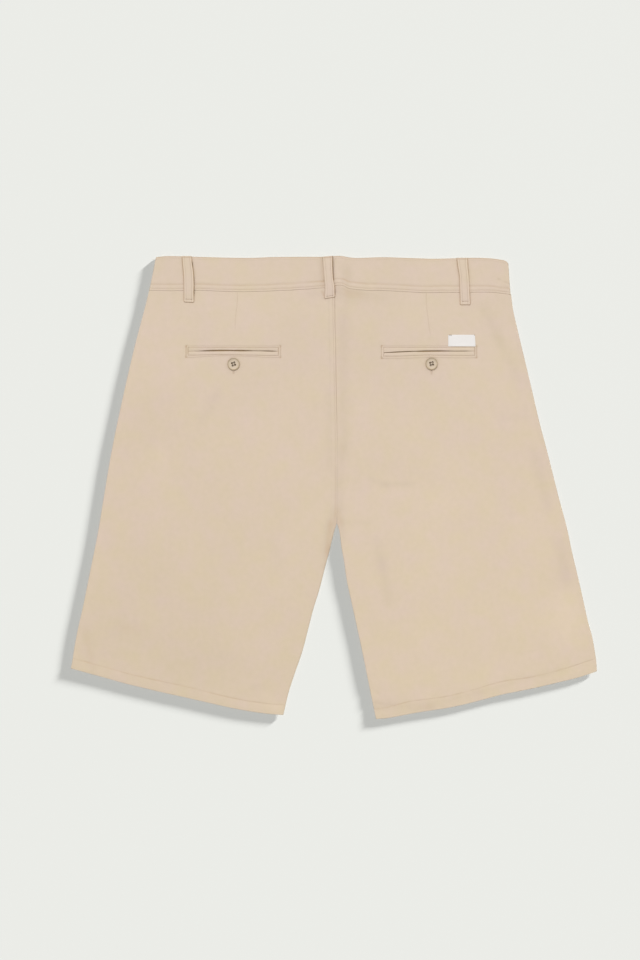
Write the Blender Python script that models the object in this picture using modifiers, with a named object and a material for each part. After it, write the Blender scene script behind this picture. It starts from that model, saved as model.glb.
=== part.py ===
# Bermuda shorts in cotton twill, laid flat with the back up and the waist towards +Y.
# Sizes are in millimetres until a mesh is made. In plan, x runs from the centre back towards the wearer's right
# and depth runs down from the waist's top edge. Height runs up from the surface that the fronts lie on.
import bisect
import math

import bmesh
import bpy
import numpy as np

MM = 0.001
CENTER_BACK_X = 2.55     # from the middle of the laid-out garment to the centre back
WAIST_Y = 286.65         # from the middle of the laid-out garment up to the waist's top edge

CLOTH = 1.1              # wall of a single cloth
HEM_CLOTH = 1.8          # wall where the hem is turned up
HEM_DEPTH = 11.0
HEM_ROWS = 3             # rows of a panel that lie in its hem
BAND_CLOTH = 2.0         # folded and interfaced waistband
LOOP_CLOTH = 1.0
SEAM = 0.3               # clearance between pieces that are sewn together

BAND_REST = 1.3          # height of the front waistband over the surface, on its belt loops
BAND_TOP = 6.0           # height of the back waistband's face at the sides
BAND_STEP = 0.45         # how far the waistband stands out from the panels
BAND_WIDTH = 41.3
CENTER_RISE = 2.3        # rise of the back waistband where the fly lies under it
BUTTON_RISE = 1.2        # rise of the front waistband over its button

# Waistband's lower edge: it climbs at the centre back seam and sinks towards the right side
FOOT_CLIMB = 6.0
FOOT_CLIMB_WIDTH = 22.0
FOOT_SLOPE = 0.008
FOOT_CORNER = 3.0
FOOT_CORNER_SPAN = (170.0, 225.0)

# Spans of depth: where the panels come down from the waistband, where the crown grows, where the rise over the
# fly fades, and where the centre seam turns into the folded inseams
WAIST_SPAN = (62.0, 160.0)
CROWN_SPAN = (45.0, 110.0)
FLY_SPAN = (45.0, 190.0)
CROTCH_SPAN = (315.0, 335.0)
HEM_SPAN = (11.0, 70.0)  # distances up from the hem over which the folded edges grow thicker

# Spans of x: where the back rises on both sides of the fly, and how far the button lifts the front
FLY_SIDES = ((-112.0, -34.0), (32.0, 100.0))
BUTTON_SPREAD = 45.0

EDGE_RADIUS = 1.8        # half of the height of a folded edge, mid leg
EDGE_RADIUS_WAIST = 1.9
EDGE_RADIUS_HEM = 2.5
EDGE_LEAD = 0.3          # straight end of a folded edge, beside its seam
EDGE_ANGLES = (30, 60, 90)
SEAM_COLUMNS = (0.0, 0.35, 1.0, 1.8, 2.6)  # distances from an edge that isn't folded
CROWN = 1.1              # how far the back rises between its folded edges
CROWN_EASE = 21.0        # distance from a folded edge over which it rises
CLOSER = 1.3             # columns lie closer together towards the centre seam

CROTCH_DEPTH = 333.1
CROTCH_X = 1.9

# Centre back seam: depth, x
CENTER_SEAM = ((35.0, -1.5), (60.0, -1.9), (160.0, 0.6), (250.0, 1.2), (CROTCH_DEPTH, CROTCH_X))

# Each leg: sign of x, folded edges as rows of depth and x, and how far the hem bows down between its corners
LEGS = {
    "left": {
        "sign": -1,
        "side": ((0.0, -224.4), (41.9, -233.1), (115.6, -252.1), (240.6, -279.5), (365.6, -301.4),
                 (490.6, -327.5), (513.5, -331.1)),
        "inseam": ((CROTCH_DEPTH, CROTCH_X), (363.1, -5.3), (403.1, -15.6), (428.1, -23.1), (490.6, -40.6),
                   (540.6, -56.9), (571.3, -64.6)),
        "hem_bow": 6.5,
    },
    "right": {
        "sign": 1,
        "side": ((0.0, 216.0), (44.4, 218.8), (65.6, 221.6), (115.6, 234.1), (240.6, 264.1), (365.6, 295.0),
                 (490.6, 323.5), (516.9, 326.0)),
        "inseam": ((CROTCH_DEPTH, CROTCH_X), (363.1, 7.4), (403.1, 14.1), (428.1, 19.8), (490.6, 33.1),
                   (540.6, 43.3), (576.0, 50.6)),
        "hem_bow": 5.9,
    },
}

# Top edge of the waistband: x, depth
BAND_TOP_EDGE = ((-224.4, -0.6), (-214.0, -1.9), (-172.0, -1.8), (-152.0, 0.0), (-57.0, 0.0), (-42.0, -1.5),
                 (-13.0, -1.5), (0.0, -2.1), (16.0, 0.1), (105.0, 0.6), (155.0, 0.3), (204.0, 1.2), (216.0, 6.9))

# Largest folds of the back: start x and depth, end x and depth, half width, rise
FOLDS = (
    (9.0, 60.0, 10.0, 285.0, 9.0, -0.45),
    (-14.0, 90.0, -12.0, 300.0, 12.0, 0.35),
    (-4.0, 345.0, -30.0, 395.0, 14.0, -0.5),
    (12.0, 350.0, 24.0, 410.0, 13.0, -0.5),
    (43.0, 362.0, 62.0, 430.0, 13.0, -0.7),
    (80.0, 420.0, 96.0, 520.0, 22.0, 0.6),
    (254.0, 240.0, 268.0, 296.0, 12.0, -0.6),
    (278.0, 350.0, 294.0, 420.0, 12.0, -0.6),
    (182.0, 70.0, 216.0, 96.0, 11.0, -0.5),
    (52.0, 270.0, 128.0, 292.0, 14.0, -0.6),
    (150.0, 230.0, 190.0, 330.0, 30.0, 0.7),
    (-168.0, 172.0, -143.0, 214.0, 13.0, -0.6),
    (-238.0, 220.0, -190.0, 288.0, 14.0, -0.7),
    (-210.0, 330.0, -150.0, 470.0, 30.0, 0.7),
    (-90.0, 240.0, -110.0, 330.0, 26.0, 0.5),
    (-250.0, 400.0, -235.0, 470.0, 16.0, -0.6),
    (215.0, 400.0, 230.0, 480.0, 18.0, -0.6),
)

# Back pockets: middle of the window, its width and height, height of the slit's middle over the window's middle
POCKETS = {
    "left": {"x": -127.7, "depth": 116.8, "width": 112.3, "height": 8.9, "slit": 0.2},
    "right": {"x": 117.3, "depth": 117.1, "width": 112.5, "height": 9.4, "slit": 0.3},
}
SLIT_WIDTH = 1.1
SLIT_ENDS = 0.35
WELT_CLOTH = 1.3
WELT_STEP = 0.15         # how far a welt stands out from its panel
FACING_MARGIN = 8.0
FACING_CLOTH = 1.0
FACING_GAP = 0.4

# Belt loops on the back: x and depth at the top, x and depth at the foot
BACK_LOOPS = {
    "belt_loop_back_left": (-185.6, -1.6, -182.9, 56.3),
    "belt_loop_back_center": (-9.4, -1.0, -6.6, 50.3),
    "belt_loop_back_right": (157.9, 0.6, 161.5, 59.0),
}
# Belt loops on the front, at the same rows
FRONT_LOOPS = {
    "belt_loop_front_left": (-108.0, 0.9, -108.0, 57.0),
    "belt_loop_front_right": (106.0, 1.2, 106.0, 57.5),
}
LOOP_WIDTH = 12.4

LABEL_MIDDLE = (158.0, 103.4)
LABEL_SIZE = (34.7, 14.3)
LABEL_CLOTH = 1.0

FLY_LEFT = -22.0
FLY_RIGHT = 26.0
FLY_TOP = 3.0
FLY_FOOT = 195.0
TAB_END = 15.0           # the left waistband's end, past the centre front

BUTTON_RADIUS = 7.5
BUTTON_HEIGHT = 2.2
BUTTON_FACE = 1.7
BUTTON_SIDES = 20
HOLE_RADIUS = 0.8
HOLE_PITCH = 2.8
HOLE_SIDES = 8
POCKET_BUTTONS = {
    "pocket_button_left": (-127.3, 133.4, 18.0),
    "pocket_button_right": (119.9, 133.0, 12.0),
}
WAIST_BUTTON = (0.0, 20.5, 8.0)  # x, depth, turn in degrees

TWILL = (0.708, 0.578, 0.440)
TWILL_INSIDE = (0.640, 0.515, 0.385)
BUTTON_HORN = (0.560, 0.445, 0.300)
LABEL_WHITE = (0.850, 0.830, 0.810)


def smoothstep(low, high, value):
    t = min(max((value - low) / (high - low), 0.0), 1.0)
    return t * t * (3.0 - 2.0 * t)


def lerp(start, end, t):
    return start + (end - start) * t


def follow(table, place):
    """Smooth curve through a table's rows, each a place and its value."""
    places = [row[0] for row in table]
    values = [row[1] for row in table]
    slopes = np.gradient(values, places)
    i = min(max(bisect.bisect_right(places, place) - 1, 0), len(places) - 2)
    step = places[i + 1] - places[i]
    t = min(max((place - places[i]) / step, 0.0), 1.0)
    return (
        values[i] * (1 + 2 * t) * (1 - t) ** 2
        + slopes[i] * step * t * (1 - t) ** 2
        + values[i + 1] * t * t * (3 - 2 * t)
        - slopes[i + 1] * step * t * t * (1 - t)
    )


# ---- plan: where the edges run ----

def side_x(leg, depth):
    return follow(leg["side"], depth)


def inner_x(leg, depth):
    edge = follow(CENTER_SEAM, depth) if depth < CROTCH_DEPTH else follow(leg["inseam"], depth)
    return edge + leg["sign"] * SEAM / 2


def band_foot(face, x):
    """Depth of the waistband's lower edge; on the back it climbs at the centre seam."""
    climb = FOOT_CLIMB * math.exp(-(((x - CROTCH_X) / FOOT_CLIMB_WIDTH) ** 2)) if face == "back" else 0.0
    return BAND_WIDTH - climb + FOOT_SLOPE * max(x, 0.0) + FOOT_CORNER * smoothstep(*FOOT_CORNER_SPAN, x)


def panel_plan(leg, face, u, v):
    """Plan point of a panel: u from the side seam to the inner edge, v from the waistband to the hem."""
    def below_band(x):
        return (band_foot(face, x) + SEAM - BAND_WIDTH) * (1.0 - smoothstep(0.0, 0.2, v))

    side_depth = lerp(BAND_WIDTH, leg["side"][-1][0], v)
    inner_depth = lerp(BAND_WIDTH, leg["inseam"][-1][0], v)
    start = side_x(leg, side_depth + below_band(side_x(leg, side_depth)))
    end = inner_x(leg, inner_depth + below_band(inner_x(leg, inner_depth)))
    x = lerp(start, end, u)
    bow = leg["hem_bow"] * 4 * u * (1 - u) * smoothstep(0.5, 1.0, v)
    return x, lerp(side_depth, inner_depth, u) + below_band(x) + bow


def hem_distance(leg, x, depth):
    """Distance up from the straight line between the hem's corners."""
    (d0, x0), (d1, x1) = leg["side"][-1], leg["inseam"][-1]
    length = math.hypot(x1 - x0, d1 - d0)
    return abs((x1 - x0) * (depth - d0) - (d1 - d0) * (x - x0)) / length


# ---- heights ----

def leg_at(x):
    return LEGS["left"] if x < CROTCH_X else LEGS["right"]


def near_waist(depth):
    return 1.0 - smoothstep(*WAIST_SPAN, depth)


def over_fly(x):
    """1 where the fly lies between front and back, easing to 0 at both sides."""
    left, right = FLY_SIDES
    return smoothstep(*left, x) * (1.0 - smoothstep(*right, x))


def over_button(x):
    return math.exp(-((x / BUTTON_SPREAD) ** 2))


def edge_radius(leg, x, depth):
    near_hem = 1.0 - smoothstep(*HEM_SPAN, hem_distance(leg, x, depth))
    return (EDGE_RADIUS + (EDGE_RADIUS_WAIST - EDGE_RADIUS) * near_waist(depth)
            + (EDGE_RADIUS_HEM - EDGE_RADIUS) * near_hem)


def fold_height(x, depth):
    """Soft ridges and troughs, each fading out past its two ends."""
    total = 0.0
    for x0, d0, x1, d1, half_width, rise in FOLDS:
        length = math.hypot(x1 - x0, d1 - d0)
        ax, ad = (x1 - x0) / length, (d1 - d0) / length
        along = (x - x0) * ax + (depth - d0) * ad
        across = (x - x0) * ad - (depth - d0) * ax
        beyond = max(-along, along - length, 0.0)
        total += rise * math.exp(-((across / half_width) ** 2) - (beyond / (1.5 * half_width)) ** 2)
    return total


def under_height(x, depth):
    """Outer face of the fronts: on the surface, lifted only near the waistband."""
    lift = BAND_REST + BAND_STEP + BUTTON_RISE * over_button(x)
    return lift * near_waist(depth)


def top_height(x, depth):
    """Outer face of the backs."""
    leg = leg_at(x)
    from_side = abs(x - side_x(leg, depth))
    if depth < CROTCH_DEPTH:
        from_inner = math.hypot(x - CROTCH_X, depth - CROTCH_DEPTH)
    else:
        from_inner = abs(x - inner_x(leg, depth))
    inside = (1.0 - math.exp(-from_side / CROWN_EASE)) * (1.0 - math.exp(-from_inner / CROWN_EASE))
    crown = CROWN * smoothstep(*CROWN_SPAN, depth) + fold_height(x, depth)
    edge = (BAND_REST + BAND_STEP) * near_waist(depth) + 2.0 * edge_radius(leg, x, depth)
    fly = CENTER_RISE * over_fly(x) * (1.0 - smoothstep(*FLY_SPAN, depth))
    return edge + inside * crown + fly


def band_top_height(x):
    return BAND_TOP + CENTER_RISE * over_fly(x)


def band_under_height(x):
    return BAND_REST + BUTTON_RISE * over_button(x)


# ---- meshes ----

def make_material(name, color, roughness):
    material = bpy.data.materials.new(name)
    material.use_nodes = True
    shader = material.node_tree.nodes["Principled BSDF"]
    shader.inputs["Base Color"].default_value = (*color, 1.0)
    shader.inputs["Roughness"].default_value = roughness
    shader.inputs["Metallic"].default_value = 0.0
    return material


def add_object(name, mesh, color, roughness=0.9):
    mesh.materials.append(make_material(name, color, roughness))
    obj = bpy.data.objects.new(name, mesh)
    garment.objects.link(obj)
    return obj


def grid_mesh(name, columns, rows, place, flipped=False):
    """Open surface: place(column, row) gives x, depth and height in millimetres; row 0 is the top one."""
    mesh = bpy.data.meshes.new(name)
    bm = bmesh.new()
    bmesh.ops.create_grid(bm, x_segments=columns - 1, y_segments=rows - 1, size=0.5)
    for vert in bm.verts:
        column = round((vert.co.x + 0.5) * (columns - 1))
        row = round((0.5 - vert.co.y) * (rows - 1))
        x, depth, height = place(column, row)
        vert.co = ((x + CENTER_BACK_X) * MM, (WAIST_Y - depth) * MM, height * MM)
    if flipped:
        bmesh.ops.reverse_faces(bm, faces=bm.faces)
    bm.to_mesh(mesh)
    bm.free()
    mesh.shade_smooth()
    return mesh


def thicken(obj, thickness):
    """Wall grown inwards from the outer face."""
    wall = obj.modifiers.new("wall", "SOLIDIFY")
    wall.thickness = thickness * MM
    wall.offset = -1.0
    wall.use_even_offset = True
    return wall


def sheet(name, columns, rows, place, thickness, color=TWILL, flipped=False):
    obj = add_object(name, grid_mesh(name, columns, rows, place, flipped), color)
    thicken(obj, thickness)
    return obj


def folded_edge(radius):
    """Section of a folded edge from its seam: distance inwards and distance from the seam's level."""
    start = SEAM / 2 + EDGE_LEAD
    arc = radius - start
    turns = [math.radians(angle) for angle in EDGE_ANGLES]
    return [(0.0, SEAM / 2), (0.0, start)] + [(arc * (1 - math.cos(a)), start + arc * math.sin(a)) for a in turns]


def make_panel(side, face, across, above, below):
    """One of the four panels, with a folded edge at the side and, below the crotch, at the inseam."""
    leg = LEGS[side]
    edge_columns = len(SEAM_COLUMNS)
    columns = 2 * edge_columns + across
    crotch = (CROTCH_DEPTH - BAND_WIDTH) / (leg["inseam"][-1][0] - BAND_WIDTH)
    hem = 1.0 - HEM_DEPTH / (leg["side"][-1][0] - BAND_WIDTH)
    levels = list(np.linspace(0.0, crotch - 0.045, above))
    levels += [crotch + step for step in (-0.028, -0.014, 0.0, 0.012, 0.03)]
    levels += list(np.linspace(crotch + 0.06, hem - 0.004, below)) + list(np.linspace(hem, 1.0, HEM_ROWS))
    back = face == "back"

    def height(x, depth):
        return top_height(x, depth) if back else under_height(x, depth)

    def place(column, row):
        v = levels[row]
        x0, depth0 = panel_plan(leg, face, 0.0, v)
        x1, depth1 = panel_plan(leg, face, 1.0, v)
        length = math.hypot(x1 - x0, depth1 - depth0)
        side_edge = folded_edge(edge_radius(leg, x0, depth0))
        inner_edge = folded_edge(edge_radius(leg, x1, depth1))
        folded = smoothstep(*CROTCH_SPAN, depth1)
        inner = [lerp(flat, fold[0], folded) for flat, fold in zip(SEAM_COLUMNS, inner_edge)]
        first, last = side_edge[-1][0] / length, 1.0 - inner[-1] / length
        from_inner = columns - 1 - column
        if column < edge_columns:
            u = side_edge[column][0] / length
        elif from_inner < edge_columns:
            u = 1.0 - inner[from_inner] / length
        else:
            t = (column - edge_columns + 1) / (across + 1)
            u = lerp(last, first, (1.0 - t) ** CLOSER)
        x, depth = panel_plan(leg, face, u, v)
        z = height(x, depth)
        seam_level = under_height(x, depth) + edge_radius(leg, x, depth)
        if column < edge_columns:
            z = seam_level + side_edge[column][1] * (1 if back else -1)
        elif from_inner < edge_columns:
            z = lerp(z, seam_level + inner_edge[from_inner][1] * (1 if back else -1), folded)
        return x, depth, z

    name = f"{face}_{side}"
    # The grid's own face points up where its columns run towards +x.
    flipped = (leg["sign"] > 0) == back
    obj = add_object(name, grid_mesh(name, columns, len(levels), place, flipped), TWILL)
    turned_up = obj.vertex_groups.new(name="hem")
    turned_up.add(list(range(HEM_ROWS * columns)), 1.0, "REPLACE")  # a grid's vertices run from its foot up
    wall = thicken(obj, HEM_CLOTH)
    wall.vertex_group = turned_up.name
    wall.thickness_vertex_group = CLOTH / HEM_CLOTH
    return obj


def make_waistband(side):
    """Half of the waistband: from the centre back, round the side, to the centre front."""
    leg = LEGS[side]
    sign = leg["sign"]
    start = -2.4 + sign * SEAM / 2
    end = TAB_END if side == "left" else TAB_END + SEAM
    radius = (BAND_TOP - BAND_REST) / 2
    on_back, in_fold, on_front = 20, 7, 12
    columns = on_back + in_fold + on_front
    across = 5

    def place(column, row):
        w = row / (across - 1)
        fold_x = side_x(leg, w * BAND_WIDTH)
        inside_x = fold_x - sign * radius
        if column < on_back:
            x = lerp(start, inside_x, (column / on_back) ** CLOSER)
            height, face = band_top_height(x), "back"
        elif column < on_back + in_fold:
            turn = math.pi * (column - on_back) / (in_fold - 1)
            x = inside_x + sign * radius * math.sin(turn)
            height, face = BAND_REST + radius * (1 + math.cos(turn)), "back"
        else:
            x = lerp(inside_x, end, (column - on_back - in_fold + 1) / on_front)
            height, face = band_under_height(x), "front"
        top = follow(BAND_TOP_EDGE, x) if face == "back" else max(follow(BAND_TOP_EDGE, x), 0.4)
        return x, lerp(top, band_foot(face, x), w), height

    return sheet(f"waistband_{side}", columns, across, place, BAND_CLOTH, flipped=sign < 0)


def make_loop(name, x_top, top, x_foot, foot, face):
    """Belt loop lying over the waistband, its foot on the panel."""
    rows = 11

    def place(column, row):
        t = row / (rows - 1)
        depth = lerp(top, foot, t)
        x = lerp(x_top, x_foot, t) + (column - 1) * LOOP_WIDTH / 2
        on_panel = smoothstep(BAND_WIDTH - 3.0, BAND_WIDTH + 8.0, depth)
        if face == "back":
            height = lerp(band_top_height(x), max(top_height(x, depth), band_top_height(x) - BAND_STEP), on_panel)
            return x, depth, height + SEAM + LOOP_CLOTH
        return x, depth, 0.0

    return sheet(name, 3, rows, place, LOOP_CLOTH, flipped=face == "front")


def cut_box(name, x, depth, width, height):
    """Box through a back panel, as a cutter."""
    mesh = bpy.data.meshes.new(name)
    bm = bmesh.new()
    bmesh.ops.create_cube(bm, size=1.0)
    bm.to_mesh(mesh)
    bm.free()
    cutter = bpy.data.objects.new(name, mesh)
    cutter.location = ((x + CENTER_BACK_X) * MM, (WAIST_Y - depth) * MM, 4.0 * MM)
    cutter.scale = (width * MM, height * MM, 12.0 * MM)
    return hide_cutter(cutter)


def hide_cutter(cutter):
    cutter.hide_render = True
    cutter.display_type = "WIRE"
    cutters.objects.link(cutter)
    return cutter


def cut(obj, cutter):
    difference = obj.modifiers.new(cutter.name, "BOOLEAN")
    difference.operation = "DIFFERENCE"
    difference.solver = "EXACT"
    difference.object = cutter


def make_pocket(side, panel):
    """Double welt pocket: a window in the panel, two welts that meet at the slit, and a facing behind them."""
    pocket = POCKETS[side]
    x_mid, width, height = pocket["x"], pocket["width"], pocket["height"]
    cut(panel, cut_box(f"pocket_window_{side}", x_mid, pocket["depth"], width, height))
    slit_depth = pocket["depth"] - pocket["slit"]
    columns = 13

    def welt_place(upper):
        def place(column, row):
            t = column / (columns - 1)
            x = x_mid + (t - 0.5) * (width - 2 * SEAM)
            half_slit = lerp(SLIT_ENDS, SLIT_WIDTH, math.sin(math.pi * t) ** 0.8) / 2
            rim = height / 2 - SEAM
            if upper:
                depth = pocket["depth"] - rim if row == 0 else slit_depth - half_slit
            else:
                depth = slit_depth + half_slit if row == 0 else pocket["depth"] + rim
            return x, depth, top_height(x, depth) + WELT_STEP
        return place

    sheet(f"pocket_welt_{side}_upper", columns, 2, welt_place(True), WELT_CLOTH)
    sheet(f"pocket_welt_{side}_lower", columns, 2, welt_place(False), WELT_CLOTH)

    def facing_place(column, row):
        x = x_mid + (column / 8 - 0.5) * (width + 2 * FACING_MARGIN)
        depth = pocket["depth"] + (row / 2 - 0.5) * (height + 2 * FACING_MARGIN)
        return x, depth, top_height(x, depth) - CLOTH - FACING_GAP

    sheet(f"pocket_facing_{side}", 9, 3, facing_place, FACING_CLOTH, color=TWILL_INSIDE)


def make_label():
    def place(column, row):
        x = LABEL_MIDDLE[0] + (column / 4 - 0.5) * LABEL_SIZE[0]
        depth = LABEL_MIDDLE[1] + (row / 2 - 0.5) * LABEL_SIZE[1]
        return x, depth, top_height(x, depth) + SEAM + LABEL_CLOTH

    return sheet("label", 5, 3, place, LABEL_CLOTH, color=LABEL_WHITE)


def make_fly_shield():
    """Underlap inside the fronts, from the waist down behind the fly."""
    rows = 13

    def place(column, row):
        depth = lerp(FLY_TOP, FLY_FOOT, row / (rows - 1))
        x = lerp(FLY_LEFT, FLY_RIGHT, column / 4)
        lift = BAND_REST + BAND_STEP + BUTTON_RISE
        over_band = (BAND_CLOTH - CLOTH - BAND_STEP) * (1.0 - smoothstep(BAND_WIDTH + 3.0, BAND_WIDTH + 28.0, depth))
        height = lift * near_waist(depth) + CLOTH + SEAM + over_band + CLOTH
        return x, depth, height

    return sheet("fly_shield", 5, rows, place, CLOTH, color=TWILL_INSIDE)


def button_mesh(name):
    """Turned disc with a rounded rim over a sunk face."""
    rim = BUTTON_RADIUS
    profile = ((0.0, BUTTON_FACE), (rim - 2.4, BUTTON_FACE), (rim - 1.5, BUTTON_HEIGHT), (rim - 0.5, 2.0),
               (rim, 1.2), (rim - 0.5, 0.3), (rim - 1.4, 0.0), (0.0, 0.0))
    mesh = bpy.data.meshes.new(name)
    points = [(radius * MM, 0.0, height * MM) for radius, height in profile]
    mesh.from_pydata(points, [(i, i + 1) for i in range(len(points) - 1)], [])
    return mesh


def make_button(name, x, depth, height, turn, faces_down):
    """Four-hole button lying on the cloth, its face away from the garment."""
    button = add_object(name, button_mesh(name), BUTTON_HORN, roughness=0.45)
    screw = button.modifiers.new("turned", "SCREW")
    screw.axis = "Z"
    screw.steps = screw.render_steps = BUTTON_SIDES
    screw.use_merge_vertices = True
    screw.merge_threshold = 0.00001
    mesh = bpy.data.meshes.new(f"{name}_holes")
    bm = bmesh.new()
    for sx in (-0.5, 0.5):
        for sy in (-0.5, 0.5):
            hole = bmesh.ops.create_cone(bm, cap_ends=True, segments=HOLE_SIDES, radius1=HOLE_RADIUS * MM,
                                         radius2=HOLE_RADIUS * MM, depth=8.0 * MM)
            bmesh.ops.translate(bm, verts=hole["verts"], vec=(sx * HOLE_PITCH * MM, sy * HOLE_PITCH * MM, 0.0))
    bm.to_mesh(mesh)
    bm.free()
    holes = hide_cutter(bpy.data.objects.new(f"{name}_holes", mesh))
    holes.parent = button
    cut(button, holes)
    button.location = ((x + CENTER_BACK_X) * MM, (WAIST_Y - depth) * MM, height * MM)
    button.rotation_euler = (math.pi if faces_down else 0.0, 0.0, math.radians(turn))
    return button


def build():
    panels = {side: make_panel(side, "back", 17, 12, 10) for side in LEGS}
    for side in LEGS:
        make_panel(side, "front", 8, 13, 6)
        make_waistband(side)
        make_pocket(side, panels[side])
    for name, row in BACK_LOOPS.items():
        make_loop(name, *row, "back")
    for name, row in FRONT_LOOPS.items():
        make_loop(name, *row, "front")
    make_label()
    make_fly_shield()
    for name, (x, depth, turn) in POCKET_BUTTONS.items():
        make_button(name, x, depth, top_height(x, depth) + SEAM, turn, faces_down=False)
    x, depth, turn = WAIST_BUTTON
    make_button("waist_button", x, depth, BUTTON_HEIGHT, turn, faces_down=True)


for old in list(bpy.data.objects):
    bpy.data.objects.remove(old)
garment = bpy.data.collections.new("bermuda_shorts")
cutters = bpy.data.collections.new("cutters")
for group in (garment, cutters):
    bpy.context.scene.collection.children.link(group)
build()
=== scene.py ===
import math

import bpy
import numpy as np
from mathutils import Matrix


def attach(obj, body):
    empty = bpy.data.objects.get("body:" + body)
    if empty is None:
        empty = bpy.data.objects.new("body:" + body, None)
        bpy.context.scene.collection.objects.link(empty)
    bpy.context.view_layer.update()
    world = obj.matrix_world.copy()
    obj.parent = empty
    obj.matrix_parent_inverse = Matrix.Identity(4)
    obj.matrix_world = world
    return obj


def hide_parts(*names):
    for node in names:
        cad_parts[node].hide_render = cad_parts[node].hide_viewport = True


# Bermuda shorts laid flat with the back up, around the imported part.
# Sizes are in millimetres until a mesh is made. In plan, x runs from the centre back towards the
# wearer's right, and depth runs down from the waist's top edge. Heights run up from the floor.
mm = 0.001
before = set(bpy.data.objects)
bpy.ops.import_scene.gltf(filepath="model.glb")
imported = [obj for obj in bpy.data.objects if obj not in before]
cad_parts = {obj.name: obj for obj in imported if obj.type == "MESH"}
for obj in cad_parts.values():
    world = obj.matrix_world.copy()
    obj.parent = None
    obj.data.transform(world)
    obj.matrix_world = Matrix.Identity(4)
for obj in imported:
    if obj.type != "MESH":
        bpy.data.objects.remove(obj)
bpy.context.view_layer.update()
bpy.ops.object.select_all(action="DESELECT")
print("frame:", len(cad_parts), "nodes")

plan = {
    "centerBackX": 2.55,      # from the middle of the part to the centre back
    "waistY": 286.65,         # from the middle of the part up to the waist's top edge
    "bandWidth": 41.3,
    "crotchDepth": 332.2,
    "crotchX": 1.7,
    "crotchSpan": (323.0, 336.0),   # where the centre seam turns into the folded inseams
    "seamGap": 0.03,
    "fanDepth": 170.0,        # rows of the panels run level down to here, and then fan out to the hem
}
centerSeam = ((35.0, -1.0), (52.0, -0.9), (65.0, -0.8), (91.0, -0.4), (103.0, 0.0), (141.0, 0.6), (178.0, 1.2),
              (216.0, 2.1), (253.0, 2.3), (300.0, 2.3), (332.2, 1.7))                            # depth, x
bandTopEdge = (                                                                          # x, depth
    (-224.4, -0.4), (-213.0, -1.5), (-193.0, -1.4), (-173.0, -0.7), (-153.0, -0.1), (-133.0, 0.5), (-98.0, 0.6),
    (-83.0, -0.1), (-63.0, -0.3), (-33.0, -0.4), (-13.0, -0.5), (-3.0, -1.3), (7.0, -1.5), (17.0, 0.3), (27.0, 1.1),
    (37.0, 0.8), (52.0, 0.2), (67.0, 0.1), (87.0, 0.8), (107.0, 1.4), (119.0, 1.8), (137.0, 1.5), (157.0, 0.9),
    (167.0, 0.6), (187.0, 0.8), (197.0, 1.5), (206.0, 2.8), (212.0, 4.2), (216.0, 7.0))
bandFootEdge = (                                                                         # on the back: x, depth
    (-233.0, 41.5), (-206.0, 41.8), (-169.0, 41.45), (-144.0, 42.55), (-119.0, 43.2), (-94.0, 42.7), (-81.0, 42.4),
    (-69.0, 41.6), (-56.0, 41.4), (-44.0, 40.4), (-34.0, 39.95), (-25.0, 39.1), (-14.4, 38.5), (-4.4, 36.4),
    (0.6, 35.3), (5.6, 35.1), (8.75, 35.4), (16.25, 39.0), (25.0, 40.3), (33.75, 41.3), (56.0, 41.7), (68.75, 42.3),
    (81.0, 42.7), (94.0, 43.6), (106.0, 44.2), (119.0, 44.4), (131.0, 43.95), (154.0, 43.95), (179.0, 43.7),
    (194.0, 43.7), (200.0, 43.95), (206.0, 44.8), (211.0, 45.3), (219.4, 46.8))
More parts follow.
